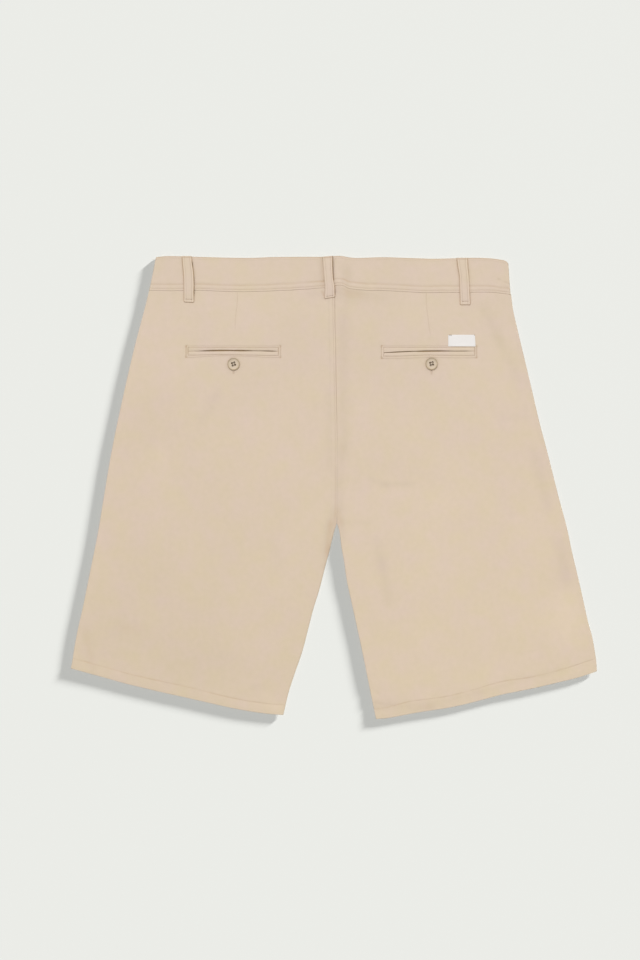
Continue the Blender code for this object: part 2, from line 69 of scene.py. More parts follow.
# Each leg's folded edges are rows of depth and x. The hem's bow downwards follows its share of the way from the
# side to the inseam, and how far up it is stitched follows x.
legs = {
    "left": {
        "sign": -1,
        "hemEdge": 1.5,
        "cornerLift": 0.24,
        "lowerLift": 0.08,
        "side": ((0.0, -224.4), (41.9, -233.1), (115.6, -252.1), (180.0, -266.9), (240.6, -279.5), (300.0, -289.7),
                 (345.0, -297.1), (365.6, -301.2), (400.0, -308.2), (435.0, -315.3), (470.0, -323.1),
                 (490.6, -326.9), (505.0, -329.1), (513.5, -330.8)),
        "inseam": ((332.2, 1.7), (336.0, 0.5), (341.2, -1.3), (348.8, -3.1), (353.8, -4.5), (360.0, -5.9),
                   (366.2, -7.3), (378.8, -10.8), (391.2, -14.0), (403.1, -17.0), (415.6, -20.3), (428.1, -24.2),
                   (440.6, -28.1), (453.0, -31.3), (468.0, -35.1), (490.6, -41.0), (520.6, -51.3), (540.6, -57.8),
                   (571.3, -65.2)),
        "hemBow": ((0.0, 0.0), (0.06, 0.9), (0.16, 2.5), (0.25, 4.0), (0.35, 4.8), (0.45, 5.2), (0.55, 5.3),
                   (0.65, 5.6), (0.72, 5.8), (0.81, 5.5), (0.87, 4.6), (0.93, 3.2), (1.0, 0.6)),
        "hemUp": ((-331.0, 12.4), (-246.0, 12.3), (-190.0, 12.9), (-150.0, 12.0), (-64.0, 12.4)),
    },
    "right": {
        "sign": 1,
        "hemEdge": 1.56,
        "cornerLift": 0.0,
        "lowerLift": -0.17,
        "side": ((0.0, 216.0), (44.4, 219.3), (65.6, 222.0), (90.0, 227.5), (115.6, 233.6), (160.0, 244.2),
                 (205.0, 254.7), (240.6, 264.1), (300.0, 279.1), (342.0, 290.2), (365.6, 295.1), (400.0, 303.3),
                 (430.0, 310.1), (458.0, 316.4), (472.0, 320.4), (490.6, 323.9), (505.0, 326.0), (516.9, 326.7)),
        "inseam": ((332.2, 1.7), (336.0, 3.0), (341.2, 4.5), (348.8, 5.8), (360.0, 7.1), (378.8, 10.5), (403.1, 14.0),
                   (428.1, 19.4), (450.0, 24.3), (490.6, 33.1), (540.6, 43.3), (576.0, 50.6)),
        "hemBow": ((0.0, 0.3), (0.08, 2.9), (0.14, 3.6), (0.21, 4.1), (0.28, 4.5), (0.35, 4.3), (0.42, 4.0),
                   (0.5, 5.0), (0.58, 6.1), (0.67, 6.2), (0.75, 4.9), (0.83, 3.7), (0.9, 3.3), (0.95, 2.8), (1.0, 0.8)),
        "hemUp": ((50.0, 11.9), (68.0, 13.0), (85.0, 14.4), (98.0, 14.8), (110.0, 14.5), (145.0, 14.0), (175.0, 14.8),
                  (215.0, 15.4), (240.0, 14.0), (280.0, 14.4), (310.0, 15.8), (327.0, 16.0)),
    },
}
lie = {                       # heights of the layers, and the spans of depth or x over which they change
    "bandRest": 1.3, "bandThick": 4.42, "bandStep": 0.45,
    "sideSpan": (95.0, 212.0), "sideRest": 1.17, "sideThin": 0.8,     # the waist comes down towards its two sides
    "centerRise": 2.3, "flySides": ((-112.0, -34.0), (32.0, 100.0)), "flySpan": (45.0, 190.0),
    "buttonRise": 1.2, "buttonSpread": 45.0,
    "waistSpan": (62.0, 160.0),
    "edge": 1.8, "edgeAtWaist": 1.9, "hemSpan": (11.0, 70.0), "corner": 30.0,
    "lowerSpan": (368.0, 430.0),
    "crown": 1.1, "crownSpan": (45.0, 110.0), "crownEase": 21.0,
}
# Soft folds of the back: start x and depth, end x and depth, half width, rise
backFolds = (
    (9.0, 60.0, 10.0, 285.0, 9.0, -0.45),
    (-14.0, 90.0, -12.0, 300.0, 12.0, 0.35),
    (-4.0, 345.0, -30.0, 395.0, 14.0, -0.5),
    (12.0, 350.0, 24.0, 410.0, 13.0, -0.5),
    (43.0, 362.0, 62.0, 430.0, 13.0, -0.7),
    (80.0, 420.0, 96.0, 520.0, 22.0, 0.6),
    (254.0, 240.0, 268.0, 296.0, 12.0, -0.6),
    (278.0, 350.0, 294.0, 420.0, 12.0, -0.6),
    (182.0, 70.0, 216.0, 96.0, 11.0, -0.5),
    (52.0, 270.0, 128.0, 292.0, 14.0, -0.6),
    (150.0, 230.0, 190.0, 330.0, 30.0, 0.7),
    (-168.0, 172.0, -143.0, 214.0, 13.0, -0.6),
    (-238.0, 220.0, -190.0, 288.0, 14.0, -0.7),
    (-210.0, 330.0, -150.0, 470.0, 30.0, 0.7),
    (-90.0, 240.0, -110.0, 330.0, 26.0, 0.5),
    (-250.0, 400.0, -235.0, 470.0, 16.0, -0.6),
    (215.0, 400.0, 230.0, 480.0, 18.0, -0.6),
)


def smoothstep(low, high, value):
    t = np.clip((value - low) / (high - low), 0.0, 1.0)
    return t * t * (3.0 - 2.0 * t)


def lerp(start, end, t):
    return start + (end - start) * t


def swell(distance, halfWidth):
    return np.exp(-((distance / halfWidth) ** 2))


def follow(table, place):                   # smooth curve through a table's rows, each a place and its value
    places, values = np.array(table, float).T
    slopes = np.gradient(values, places)
    i = np.clip(np.searchsorted(places, place, side="right") - 1, 0, len(places) - 2)
    step = places[i + 1] - places[i]
    t = np.clip((place - places[i]) / step, 0.0, 1.0)
    return (
        values[i] * (1 + 2 * t) * (1 - t) ** 2
        + slopes[i] * step * t * (1 - t) ** 2
        + values[i + 1] * t * t * (3 - 2 * t)
        - slopes[i + 1] * step * t * t * (1 - t)
    )


def unevenWave(place, spacing, seed):       # wave between -1 and 1 whose crests differ in height and spacing
    draw = np.random.RandomState(seed)
    knots = -900.0 + np.cumsum(draw.uniform(0.55, 1.45, int(2000 / spacing)) * spacing)
    levels = draw.uniform(-1.0, 1.0, len(knots))
    i = np.clip(np.searchsorted(knots, place) - 1, 0, len(knots) - 2)
    t = smoothstep(0.0, 1.0, (place - knots[i]) / (knots[i + 1] - knots[i]))
    return lerp(levels[i], levels[i + 1], t)


def foldHeight(table, x, depth):
    total = np.zeros_like(x, float)
    for x0, d0, x1, d1, halfWidth, rise in table:
        length = math.hypot(x1 - x0, d1 - d0)
        ax, ad = (x1 - x0) / length, (d1 - d0) / length
        along = (x - x0) * ax + (depth - d0) * ad
        across = (x - x0) * ad - (depth - d0) * ax
        beyond = np.maximum(np.maximum(-along, along - length), 0.0)
        total += rise * swell(across, halfWidth) * swell(beyond, 1.5 * halfWidth)
    return total


def sideX(leg, depth):
    return follow(leg["side"], depth)


def seamX(leg, depth):                      # centre seam, and below the crotch the inseam
    return np.where(depth < plan["crotchDepth"], follow(centerSeam, depth), follow(leg["inseam"], depth))


def bandFoot(face, x):                      # depth of the waistband's lower edge
    if face == "back":
        return follow(bandFootEdge, x)
    return plan["bandWidth"] + 0.008 * np.maximum(x, 0.0) + 3.0 * smoothstep(170.0, 225.0, x)


def nearWaist(depth):
    return 1.0 - smoothstep(*lie["waistSpan"], depth)


def overFly(x):
    left, right = lie["flySides"]
    return smoothstep(*left, x) * (1.0 - smoothstep(*right, x))


def towardSides(x):
    return smoothstep(*lie["sideSpan"], np.abs(x))


def nearHem(leg, x, depth):
    (d0, x0), (d1, x1) = leg["side"][-1], leg["inseam"][-1]
    fromHem = np.abs((x1 - x0) * (depth - d0) - (d1 - d0) * (x - x0)) / math.hypot(x1 - x0, d1 - d0)
    return 1.0 - smoothstep(*lie["hemSpan"], fromHem)


def edgeRadius(leg, x, depth):
    atWaist = lie["edgeAtWaist"] - lie["edge"] - lie["sideThin"] / 2 * towardSides(x)
    atHem = leg["hemEdge"] - lie["edge"] + leg["cornerLift"] * swell(x - leg["side"][-1][1], lie["corner"])
    belowCrotch = leg["lowerLift"] * smoothstep(*lie["lowerSpan"], depth) * (1.0 - nearHem(leg, x, depth))
    return lie["edge"] + atWaist * nearWaist(depth) + belowCrotch + atHem * nearHem(leg, x, depth)


def bandRest(x):
    return lie["bandRest"] - lie["sideRest"] * towardSides(x)


def bandThick(x):
    return lie["bandThick"] - lie["sideThin"] * towardSides(x)


def underHeight(x, depth):                  # outer face of the fronts
    lift = bandRest(x) + lie["bandStep"] + lie["buttonRise"] * swell(x, lie["buttonSpread"])
    return lift * nearWaist(depth)


def legTop(leg, x, depth):
    fromSide = np.abs(x - sideX(leg, depth))
    fromInner = np.where(depth < plan["crotchDepth"],
                         np.hypot(x - plan["crotchX"], depth - plan["crotchDepth"]),
                         np.abs(x - seamX(leg, depth) - leg["sign"] * 0.15))
    inside = (1.0 - np.exp(-fromSide / lie["crownEase"])) * (1.0 - np.exp(-fromInner / lie["crownEase"]))
    crown = lie["crown"] * smoothstep(*lie["crownSpan"], depth) * (1.0 - 0.9 * nearHem(leg, x, depth))
    crown = crown + foldHeight(backFolds, x, depth)
    edge = (bandRest(x) + lie["bandStep"]) * nearWaist(depth) + 2.0 * edgeRadius(leg, x, depth)
    fly = lie["centerRise"] * overFly(x) * (1.0 - smoothstep(*lie["flySpan"], depth))
    return edge + inside * crown + fly


def topHeight(x, depth):                    # outer face of the backs
    x, depth = np.asarray(x, float), np.asarray(depth, float)
    return np.where(x < plan["crotchX"], legTop(legs["left"], x, depth), legTop(legs["right"], x, depth))


def bandTopHeight(x):
    return bandRest(x) + bandThick(x) + lie["centerRise"] * overFly(x)


def bandUnderHeight(x):
    return bandRest(x) + lie["buttonRise"] * swell(x, lie["buttonSpread"])


def spaced(length, startStep, endStep, widest, growth=0.18):
    # Places from 0 to 1, closer together towards each end that has a small step
    places = [0.0]
    while places[-1] < length:
        here = places[-1]
        places.append(here + min(widest, startStep + growth * here, endStep + growth * max(length - here, 0.0)))
    return np.array(places) / places[-1]


def joined(*columns):                       # arrays or numbers side by side, such as x, depth and height
    return np.stack(np.broadcast_arrays(*columns), axis=-1)


def runLength(x, y):                        # from the start of a line to each of its points
    return np.concatenate([[0.0], np.cumsum(np.hypot(np.diff(x), np.diff(y)))])


def toWorld(points):
    placed = np.empty_like(points)
    placed[..., 0] = points[..., 0] + plan["centerBackX"]
    placed[..., 1] = plan["waistY"] - points[..., 1]
    placed[..., 2] = points[..., 2]
    return placed * mm


def selectOnly(obj):
    bpy.ops.object.select_all(action="DESELECT")
    obj.select_set(True)
    bpy.context.view_layer.objects.active = obj


def addObject(name, data):
    obj = bpy.data.objects.new(name, data)
    bpy.context.scene.collection.objects.link(obj)
    return obj


def editAll():                              # into edit mode, with everything selected
    bpy.ops.object.mode_set(mode="EDIT")
    bpy.ops.mesh.select_all(action="SELECT")


def editFaces(obj, chosen):                 # into edit mode, with only the chosen faces selected
    bpy.ops.object.mode_set(mode="EDIT")
    bpy.ops.mesh.select_mode(type="FACE")
    bpy.ops.mesh.select_all(action="DESELECT")
    leaveEdit()
    obj.data.polygons.foreach_set("select", chosen)
    bpy.ops.object.mode_set(mode="EDIT")


def leaveEdit():
    bpy.ops.object.mode_set(mode="OBJECT")


def cornerVertices(mesh):                   # the vertex at each corner of each face
    corners = np.empty(len(mesh.loops), int)
    mesh.loops.foreach_get("vertex_index", corners)
    return corners


def surfaceNormals(points):                 # upward where x grows along a row and depth grows down the rows
    down, across = np.gradient(points, axis=0), np.gradient(points, axis=1)
    flip = np.array([1.0, -1.0, 1.0])
    normals = np.cross(across * flip, -down * flip)
    normals /= np.linalg.norm(normals, axis=2, keepdims=True) + 1e-12
    return normals * flip


def gridObject(name, points, uv, tone, flipped=False):
    # A grid whose points are placed by rows and columns; its UVs are in metres
    rows, columns = points.shape[:2]
    bpy.ops.object.select_all(action="DESELECT")
    bpy.ops.mesh.primitive_grid_add(x_subdivisions=columns - 1, y_subdivisions=rows - 1, size=1.0)
    obj = bpy.context.object
    obj.name = obj.data.name = name
    mesh = obj.data
    place = np.empty(len(mesh.vertices) * 3)
    mesh.vertices.foreach_get("co", place)
    place = place.reshape(-1, 3)
    column = np.rint((place[:, 0] + 0.5) * (columns - 1)).astype(int)
    row = np.rint((0.5 - place[:, 1]) * (rows - 1)).astype(int)
    mesh.vertices.foreach_set("co", toWorld(points)[row, column].ravel())
    layer = mesh.uv_layers.active
    layer.name = "cloth"
    layer.data.foreach_set("uv", (uv[row, column] * mm)[cornerVertices(mesh)].ravel())
    shade = mesh.attributes.new("tone", "FLOAT", "POINT")
    shade.data.foreach_set("value", tone[row, column].astype(np.float32))
    if flipped:
        editAll()
        bpy.ops.mesh.flip_normals()
        leaveEdit()
    return obj, row, column


def applyAll(obj):
    bpy.context.view_layer.objects.active = obj
    for modifier in list(obj.modifiers):
        bpy.ops.object.modifier_apply(modifier=modifier.name)


def addWall(obj, thickness, weights=None):
    # Wall grown inwards from the outer face; weights make it thinner where the cloth is turned in at a seam
    wall = obj.modifiers.new("wall", "SOLIDIFY")
    wall.thickness = thickness * mm
    wall.offset = -1.0
    if weights is not None:
        group = obj.vertex_groups.new(name="wall")
        rounded = np.round(weights, 2)
        for weight in np.unique(rounded):
            group.add(np.flatnonzero(rounded == weight).tolist(), float(weight), "REPLACE")
        wall.vertex_group = "wall"
    applyAll(obj)


def smooth(obj, degrees=55):
    selectOnly(obj)
    bpy.ops.object.shade_smooth_by_angle(angle=math.radians(degrees))


def finishPiece(obj, material, nodes=()):
    obj.data.materials.clear()
    obj.data.materials.append(material)
    smooth(obj)
    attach(obj, "root")
    if nodes:
        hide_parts(*nodes)
    return obj


def closedTube(name, sections, uvs, tones):
    # Rows are lengthwise and columns go once round each section; both ends are closed
    sections, uvs, tones = np.stack(sections), np.stack(uvs), np.stack(tones)
    closing = uvs[:, :1] + np.array([uvs[0, 1, 0] - uvs[0, 0, 0], 0.0])
    rings = ((sections, sections[:, :1]), (uvs, closing), (tones, tones[:, :1]))
    obj = gridObject(name, *(np.concatenate(ring, axis=1) for ring in rings))[0]
    editAll()
    bpy.ops.mesh.remove_doubles(threshold=0.002 * mm)
    bpy.ops.mesh.select_all(action="DESELECT")
    bpy.ops.mesh.select_mode(type="EDGE")
    bpy.ops.mesh.select_non_manifold(extend=False)
    bpy.ops.mesh.fill_holes(sides=0)
    bpy.ops.mesh.select_mode(type="VERT")
    bpy.ops.mesh.select_all(action="SELECT")
    bpy.ops.mesh.normals_make_consistent(inside=False)
    leaveEdit()
    return obj


# Finishes

def linked(tree, kind, operation=None, out=0, **inputs):
    # A new node with values or links at its inputs, which are named or counted as n0 and n1
    node = tree.nodes.new(kind)
    if operation:
        node.operation = operation
    for name, value in inputs.items():
        counted = name[0] == "n" and name[1:].isdigit()
        socket = node.inputs[int(name[1:]) if counted else name]
        if isinstance(value, bpy.types.NodeSocket):
            tree.links.new(value, socket)
        else:
            socket.default_value = value
    return node.outputs[out]


def compute(tree, operation, first, second):
    return linked(tree, "ShaderNodeMath", operation, n0=first, n1=second)


def vectors(tree, operation, first, out=0, **others):
    return linked(tree, "ShaderNodeVectorMath", operation, out, n0=first, **others)


def startMaterial(name, looks):
    material = bpy.data.materials.new(name)
    material.use_nodes = True
    shader = material.node_tree.nodes["Principled BSDF"]
    for socket, value in looks.items():
        shader.inputs[socket].default_value = value
    return material, material.node_tree, shader


twill = {
    "rib": 0.62,              # from one diagonal rib to the next
    "ribAngle": 63.0,
    "relief": 0.09,           # depth of the weave
    "mottle": 0.030,          # share by which the colour varies over a few millimetres
    "cloud": 0.028,           # and over a hand's breadth
    "blush": 0.054,           # share by which it turns pinker or yellower
    "coolness": 0.035,        # by how much bluer it gets a metre towards the waist
    "ribShade": 0.07,
    "toneShade": 0.16,        # how far the tone attribute darkens or lightens, as painted shade and painted highlight
    "warmth": 0.05,           # how much redder and less blue the painted shade is where the tone is dark
    "roughness": 0.88,
    "specular": 0.22,
    "sheen": 0.12,
    "mottleScale": 160.0,     # how fine the mottling, the clouds and the change of hue are
    "cloudScale": 11.0,
    "hueScale": 40.0,
    "wave": 314.16,           # from crest to crest of the wave texture at scale 1
    "yarn": (2400.0, 700.0, 1.0),   # how fine the uneven yarn is
    "slub": 0.8,
    "bump": 0.55,
}


def makeCloth(name, color, sizes):
    material, tree, shader = startMaterial(name, {
        "Roughness": sizes["roughness"], "Specular IOR Level": sizes["specular"],
        "Sheen Weight": sizes["sheen"], "Sheen Roughness": 0.5})
    coords = tree.nodes.new("ShaderNodeUVMap")
    coords.uv_map = "cloth"
    turned = linked(tree, "ShaderNodeMapping", Vector=coords.outputs["UV"],
                    Rotation=(0.0, 0.0, math.radians(sizes["ribAngle"])))
    ribs = linked(tree, "ShaderNodeTexWave", out="Fac", Vector=turned, Scale=sizes["wave"] / sizes["rib"],
                  Distortion=0.9, Detail=1.0, **{"Detail Scale": 3.0})
    yarn = linked(tree, "ShaderNodeMapping", Vector=coords.outputs["UV"], Scale=sizes["yarn"])
    slub = linked(tree, "ShaderNodeTexNoise", out="Fac", Vector=yarn, Scale=1.0, Detail=2.0)
    place = tree.nodes.new("ShaderNodeTexCoord").outputs["Object"]
    mottle, cloud, hue = (
        linked(tree, "ShaderNodeTexNoise", out="Fac", Vector=place, Scale=sizes[scale], Detail=detail)
        for scale, detail in (("mottleScale", 3.0), ("cloudScale", 2.0), ("hueScale", 2.0)))
    tone = tree.nodes.new("ShaderNodeAttribute")
    tone.attribute_name = "tone"
    tone = tone.outputs["Fac"]
    total = 1.0
    for value, middle, share in ((mottle, 0.5, 2.0 * sizes["mottle"]), (cloud, 0.5, 2.0 * sizes["cloud"]),
                                 (ribs, 0.5, sizes["ribShade"]), (tone, 0.0, sizes["toneShade"])):
        off = compute(tree, "SUBTRACT", value, middle)
        total = compute(tree, "ADD", compute(tree, "MULTIPLY", off, share), total)
    pinker = compute(tree, "MULTIPLY", compute(tree, "SUBTRACT", hue, 0.5), 2.0 * sizes["blush"])
    up = linked(tree, "ShaderNodeSeparateXYZ", out="Y", Vector=place)
    bluer = compute(tree, "MULTIPLY", compute(tree, "ADD", up, 0.08), sizes["coolness"])
    # Where the tone paints shade, the colour turns redder and less blue
    paintedShadeDepth = compute(tree, "MINIMUM", compute(tree, "ADD", tone, 0.3), 0.0)
    tinted = color
    for shift in (vectors(tree, "SCALE", (0.15, -0.15, 0.8), Scale=pinker),
                  linked(tree, "ShaderNodeCombineXYZ", Z=bluer),
                  vectors(tree, "SCALE", (-sizes["warmth"], 0.0, 0.8 * sizes["warmth"]), Scale=paintedShadeDepth)):
        tinted = vectors(tree, "ADD", tinted, n1=shift)
    tree.links.new(vectors(tree, "SCALE", tinted, Scale=total), shader.inputs["Base Color"])
    weave = compute(tree, "ADD", ribs, compute(tree, "MULTIPLY", slub, sizes["slub"]))
    raised = linked(tree, "ShaderNodeBump", Height=weave, Strength=sizes["bump"],
                    Distance=sizes["relief"] * mm)
    tree.links.new(raised, shader.inputs["Normal"])
    return material


def makeResin(name, color, sizes):
    # Button resin with faint clouded streaks; painted shade darkens and browns its rim, more towards the top, and
    # darkens its holes
    material, tree, shader = startMaterial(name, {"Roughness": 0.42, "Specular IOR Level": 0.35})
    place = tree.nodes.new("ShaderNodeTexCoord").outputs["Object"]
    stretched = linked(tree, "ShaderNodeMapping", Vector=place, Scale=(160.0, 420.0, 200.0))
    cloud = linked(tree, "ShaderNodeTexNoise", out="Fac", Vector=stretched, Scale=1.0, Detail=3.0)
    clouded = compute(tree, "ADD", compute(tree, "MULTIPLY", cloud, 0.20), 0.90)
    disc = tree.nodes.new("ShaderNodeUVMap")
    disc.uv_map = "disc"
    disc = disc.outputs["UV"]

    def shaded(distance, low, high, shade):
        return linked(tree, "ShaderNodeMapRange", **{"Value": distance, "From Min": low, "From Max": high,
                                                     "To Max": shade})

    fromMiddle = vectors(tree, "LENGTH", disc, "Value")
    rim = shaded(fromMiddle, sizes["radius"] - 1.4, sizes["radius"] - 0.8, sizes["rimShade"])
    upDown = linked(tree, "ShaderNodeSeparateXYZ", out="Y", Vector=disc)
    # Painted shade round the rim, stronger towards the top
    uneven = compute(tree, "ADD", compute(tree, "MULTIPLY", upDown, 0.5 / sizes["radius"]), 1.0)
    paintedRimShade = compute(tree, "MULTIPLY", rim, uneven)
    apart = vectors(tree, "SUBTRACT", vectors(tree, "ABSOLUTE", disc),
                    n1=(sizes["pitch"] / 2, sizes["pitch"] / 2, 0.0))
    fromHole = vectors(tree, "LENGTH", apart, "Value")
    # Painted shade inside the four holes
    hole = shaded(fromHole, sizes["hole"] + 0.25, sizes["hole"] + 0.02, sizes["holeShade"])
    light = compute(tree, "SUBTRACT", 1.0, compute(tree, "ADD", paintedRimShade, hole))
    brown = vectors(tree, "ADD", color, n1=vectors(tree, "SCALE", (0.10, 0.0, -0.20), Scale=rim))
    tinted = vectors(tree, "SCALE", brown, Scale=compute(tree, "MULTIPLY", clouded, light))
    tree.links.new(tinted, shader.inputs["Base Color"])
    return material


# Turned buttons, sizes in millimetres
button = {"radius": 7.5, "height": 2.0, "rim": 1.5, "step": 0.7, "sunk": 0.5, "hole": 1.2, "pitch": 3.0,
          "bevel": 0.4, "thread": 0.34, "rimShade": 0.33, "holeShade": 0.97}
beige = (0.716, 0.583, 0.443)
thread = {**twill, "rib": 0.3, "relief": 0.04}
finishes = {
    "twill": makeCloth("beigeTwill", beige, twill),
    "inside": makeCloth("beigeTwillInside", (0.640, 0.515, 0.385),
                        {**twill, "ribAngle": -63.0, "ribShade": 0.04}),
    "label": makeCloth("whiteTape", (0.852, 0.818, 0.788),
                       {**twill, "rib": 0.45, "ribAngle": 90.0, "relief": 0.05, "mottle": 0.01, "cloud": 0.0,
                        "blush": 0.0, "coolness": 0.0, "ribShade": 0.03, "roughness": 0.6}),
    "thread": makeCloth("beigeThread", (0.660, 0.532, 0.398), thread),
    "bartack": makeCloth("tanThread", (0.500, 0.390, 0.280), thread),
    "tack": makeCloth("brownThread", (0.330, 0.245, 0.165), thread),
    "resin": makeResin("beigeResin", (0.640, 0.522, 0.390), button),
}
print("finishes:", len(finishes))

# Stitches: one grain of thread, copied along each row into one mesh a group
stitch = {"pitch": 2.9, "length": 2.35, "width": 0.42, "height": 0.34, "sides": 6, "rings": 5}
stitchRows = {}


def stitchAlong(group, x, depth, height, pitch=None, length=None, width=None, lean=0.0):
    # Stitches laid end to end along a line that lies on a surface
    pitch, length = pitch or stitch["pitch"], length or stitch["length"]
    line = joined(x, depth, height)
    run = np.concatenate([[0.0], np.cumsum(np.linalg.norm(np.diff(line, axis=0), axis=1))])
    count = max(int(run[-1] / pitch), 1)
    middles = (np.arange(count) + 0.5) * run[-1] / count
    at = [np.stack([np.interp(middles + side * length / 2, run, line[:, k]) for k in range(3)], axis=1)
          for side in (-1, 1)]
    stitchGrain(group, at[0], at[1], width or stitch["width"], lean)


def stitchGrain(group, start, end, width, lean=0.0):
    along = end - start
    length = np.linalg.norm(along, axis=1, keepdims=True)
    along = along / length
    side = np.cross(along, np.array([0.0, 0.0, 1.0]))
    side /= np.linalg.norm(side, axis=1, keepdims=True)
    along = along * math.cos(lean) + side * math.sin(lean)
    side = np.cross(along, np.array([0.0, 0.0, 1.0]))
    up = np.cross(side, along)
    up = up * width * stitch["height"] / stitch["width"]
    stitchRows.setdefault(group, []).append(((start + end) / 2, along * length, side * width, up))


def makeStitches(group, material):
    bpy.ops.object.select_all(action="DESELECT")
    bpy.ops.mesh.primitive_uv_sphere_add(segments=stitch["sides"], ring_count=stitch["rings"],
                                         radius=0.5, rotation=(0.0, math.pi / 2, 0.0))
    grain = bpy.context.object
    bpy.ops.object.transform_apply(location=False, rotation=True, scale=False)
    shape = np.array([v.co for v in grain.data.vertices])
    faces = [list(p.vertices) for p in grain.data.polygons]
    bpy.data.objects.remove(grain)
    middle, along, side, up = (np.concatenate(part) for part in zip(*stitchRows[group]))
    points = middle[:, None]
    for axis, direction in enumerate((along, side, up)):
        points = points + shape[None, :, axis:axis + 1] * direction[:, None]
    mesh = bpy.data.meshes.new(group)
    mesh.from_pydata(toWorld(points.reshape(-1, 3)).tolist(), [],
                     [[v + i * len(shape) for v in face] for i in range(len(middle)) for face in faces])
    layer = mesh.uv_layers.new(name="cloth")
    own = np.tile(shape[:, :2] * np.array([stitch["length"], stitch["width"]]) * mm, (len(middle), 1))
    layer.data.foreach_set("uv", own[cornerVertices(mesh)].ravel())
    mesh.attributes.new("tone", "FLOAT", "POINT")
    obj = addObject(group, mesh)
    selectOnly(obj)
    editAll()
    bpy.ops.mesh.normals_make_consistent(inside=False)
    leaveEdit()
    return finishPiece(obj, material)


# Back pockets, darts and what the panels' relief follows

# The slit and the window's lower rim are rows of x and depth, the opening rows of x and width, and the stitching
# below the window rows of x and distance from its rim
pockets = {
    "left": {"x": -127.7, "depth": 116.8, "width": 112.3, "height": 8.9,
             "slit": ((-184.0, 117.4), (-169.0, 117.1), (-157.0, 116.75), (-138.0, 116.5), (-119.0, 116.7),
                      (-100.0, 116.9), (-84.0, 117.15), (-71.0, 117.55)),
             "opening": ((-184.0, 0.04), (-176.0, 0.08), (-169.0, 0.4), (-162.0, 1.1), (-157.0, 1.35), (-138.0, 1.45),
                         (-129.0, 1.2), (-119.0, 1.5), (-111.0, 1.1), (-104.0, 0.55), (-93.0, 0.5), (-85.0, 0.9),
                         (-79.0, 0.85), (-75.5, 0.5), (-73.0, 0.1), (-71.0, 0.04)),
             "foot": ((-184.0, 122.4), (-177.0, 122.4), (-164.0, 122.0), (-152.0, 121.75), (-142.0, 121.7),
                      (-125.0, 121.9), (-115.0, 122.1), (-107.0, 122.3), (-97.0, 122.5), (-87.0, 122.9),
                      (-77.0, 123.0), (-71.0, 123.0)),
             "footStitch": ((-187.0, 2.7), (-176.0, 2.7), (-166.0, 2.0), (-90.0, 2.0), (-80.0, 2.3), (-66.0, 2.4))},
    "right": {"x": 116.92, "depth": 117.1, "width": 113.25, "height": 9.4,
              "slit": ((60.3, 119.4), (74.0, 118.55), (84.0, 118.1), (93.0, 117.65), (112.0, 117.3), (131.0, 117.1),
                       (149.0, 117.2), (174.0, 117.1)),
              "opening": ((61.0, 0.5), (66.0, 0.55), (74.0, 1.0), (84.0, 0.9), (93.0, 0.85), (99.0, 0.65), (106.0, 1.2),
                          (112.0, 1.5), (121.0, 1.45), (131.0, 1.3), (141.0, 0.75), (149.0, 0.5), (160.0, 0.6),
                          (165.0, 0.4), (168.5, 0.12), (171.0, 0.04), (174.0, 0.04)),
              "foot": ((61.0, 123.75), (74.0, 123.75), (84.0, 123.5), (93.0, 123.2), (103.0, 122.75),
                       (112.0, 122.4), (121.0, 122.4), (131.0, 122.6), (149.0, 122.75), (160.0, 122.9), (174.0, 122.9)),
              "footStitch": ((58.0, 2.8), (178.0, 2.8))},
}
pocketFrame = {
    "above": 1.9, "beside": 2.9,      # from the rim to its stitching
    "groove": (0.18, 0.44),   # how deep the stitching and the rim lie, along the slit and at its ends
    "rim": (0.33, 0.75),
    "puff": 0.18, "around": 0.12, "corner": 0.25,
    "facingMargin": 8.0, "facingDrop": 1.5, "facingCloth": 0.8,
}
welt = {"roll": 0.55, "cloth": 0.42}
darts = {"left": ((44.0, -122.6), (58.0, -122.7), (68.0, -124.2), (78.0, -125.2), (94.0, -125.3)),
         "right": ((44.5, 113.2), (58.0, 113.3), (68.0, 114.4), (88.0, 116.9), (101.3, 119.2))}
pocketButtons = {"left": (-127.3, 133.4, 18.0), "right": (119.9, 133.0, 12.0)}     # x, depth, turn in degrees
hem = {
    "turn": 0.66, "inside": (4.0, 8.0, 12.0, 16.8), "thin": 0.78,     # radius, rows inside, share of the wall
    "groove": 0.16, "waver": 0.12, "puff": 0.16, "valley": 0.20, "pucker": 0.24,
}
toneGain = 3.4
panel = {
    "cloth": 0.8,
    "widest": 2.6,            # widest step between columns or rows
    "centerStitch": 2.5,      # from the centre seam to its topstitching, on the left side
    "centerImprint": 7.5,
    "bandDrop": 0.12,         # how far the upper edge is turned in under the waistband
    "centerGroove": 0.17, "imprintGroove": 0.07, "centerRaised": 0.16, "centerPucker": 0.06, "bandPucker": 0.12,
    "rumple": (0.06, 0.05),
    "thinSide": (0.3, 0.55, 0.8), "thinSeam": (0.9, 0.7, 0.45, 0.3), "thinTop": 0.6,     # shares of the wall
    "doubled": (17.5, 21.0),  # where the wall of the doubled hem grows to the full one, up from the hem
}
foldLead = ((0.30, 0.06), (0.08, 0.24))     # a folded edge's turned-in seam: inwards, up
foldStart = 0.5
foldTurns = np.radians((0, 15, 30, 45, 60, 75, 90))
nearSeam = np.array((0.0, 0.12, 0.3, 0.55, 0.85, 1.2, 1.6, 2.05, 2.5, 2.95, 3.4, 3.9, 4.5, 5.2, 6.0, 6.8, 7.5,
                     8.2, 9.0, 10.2, 11.6))
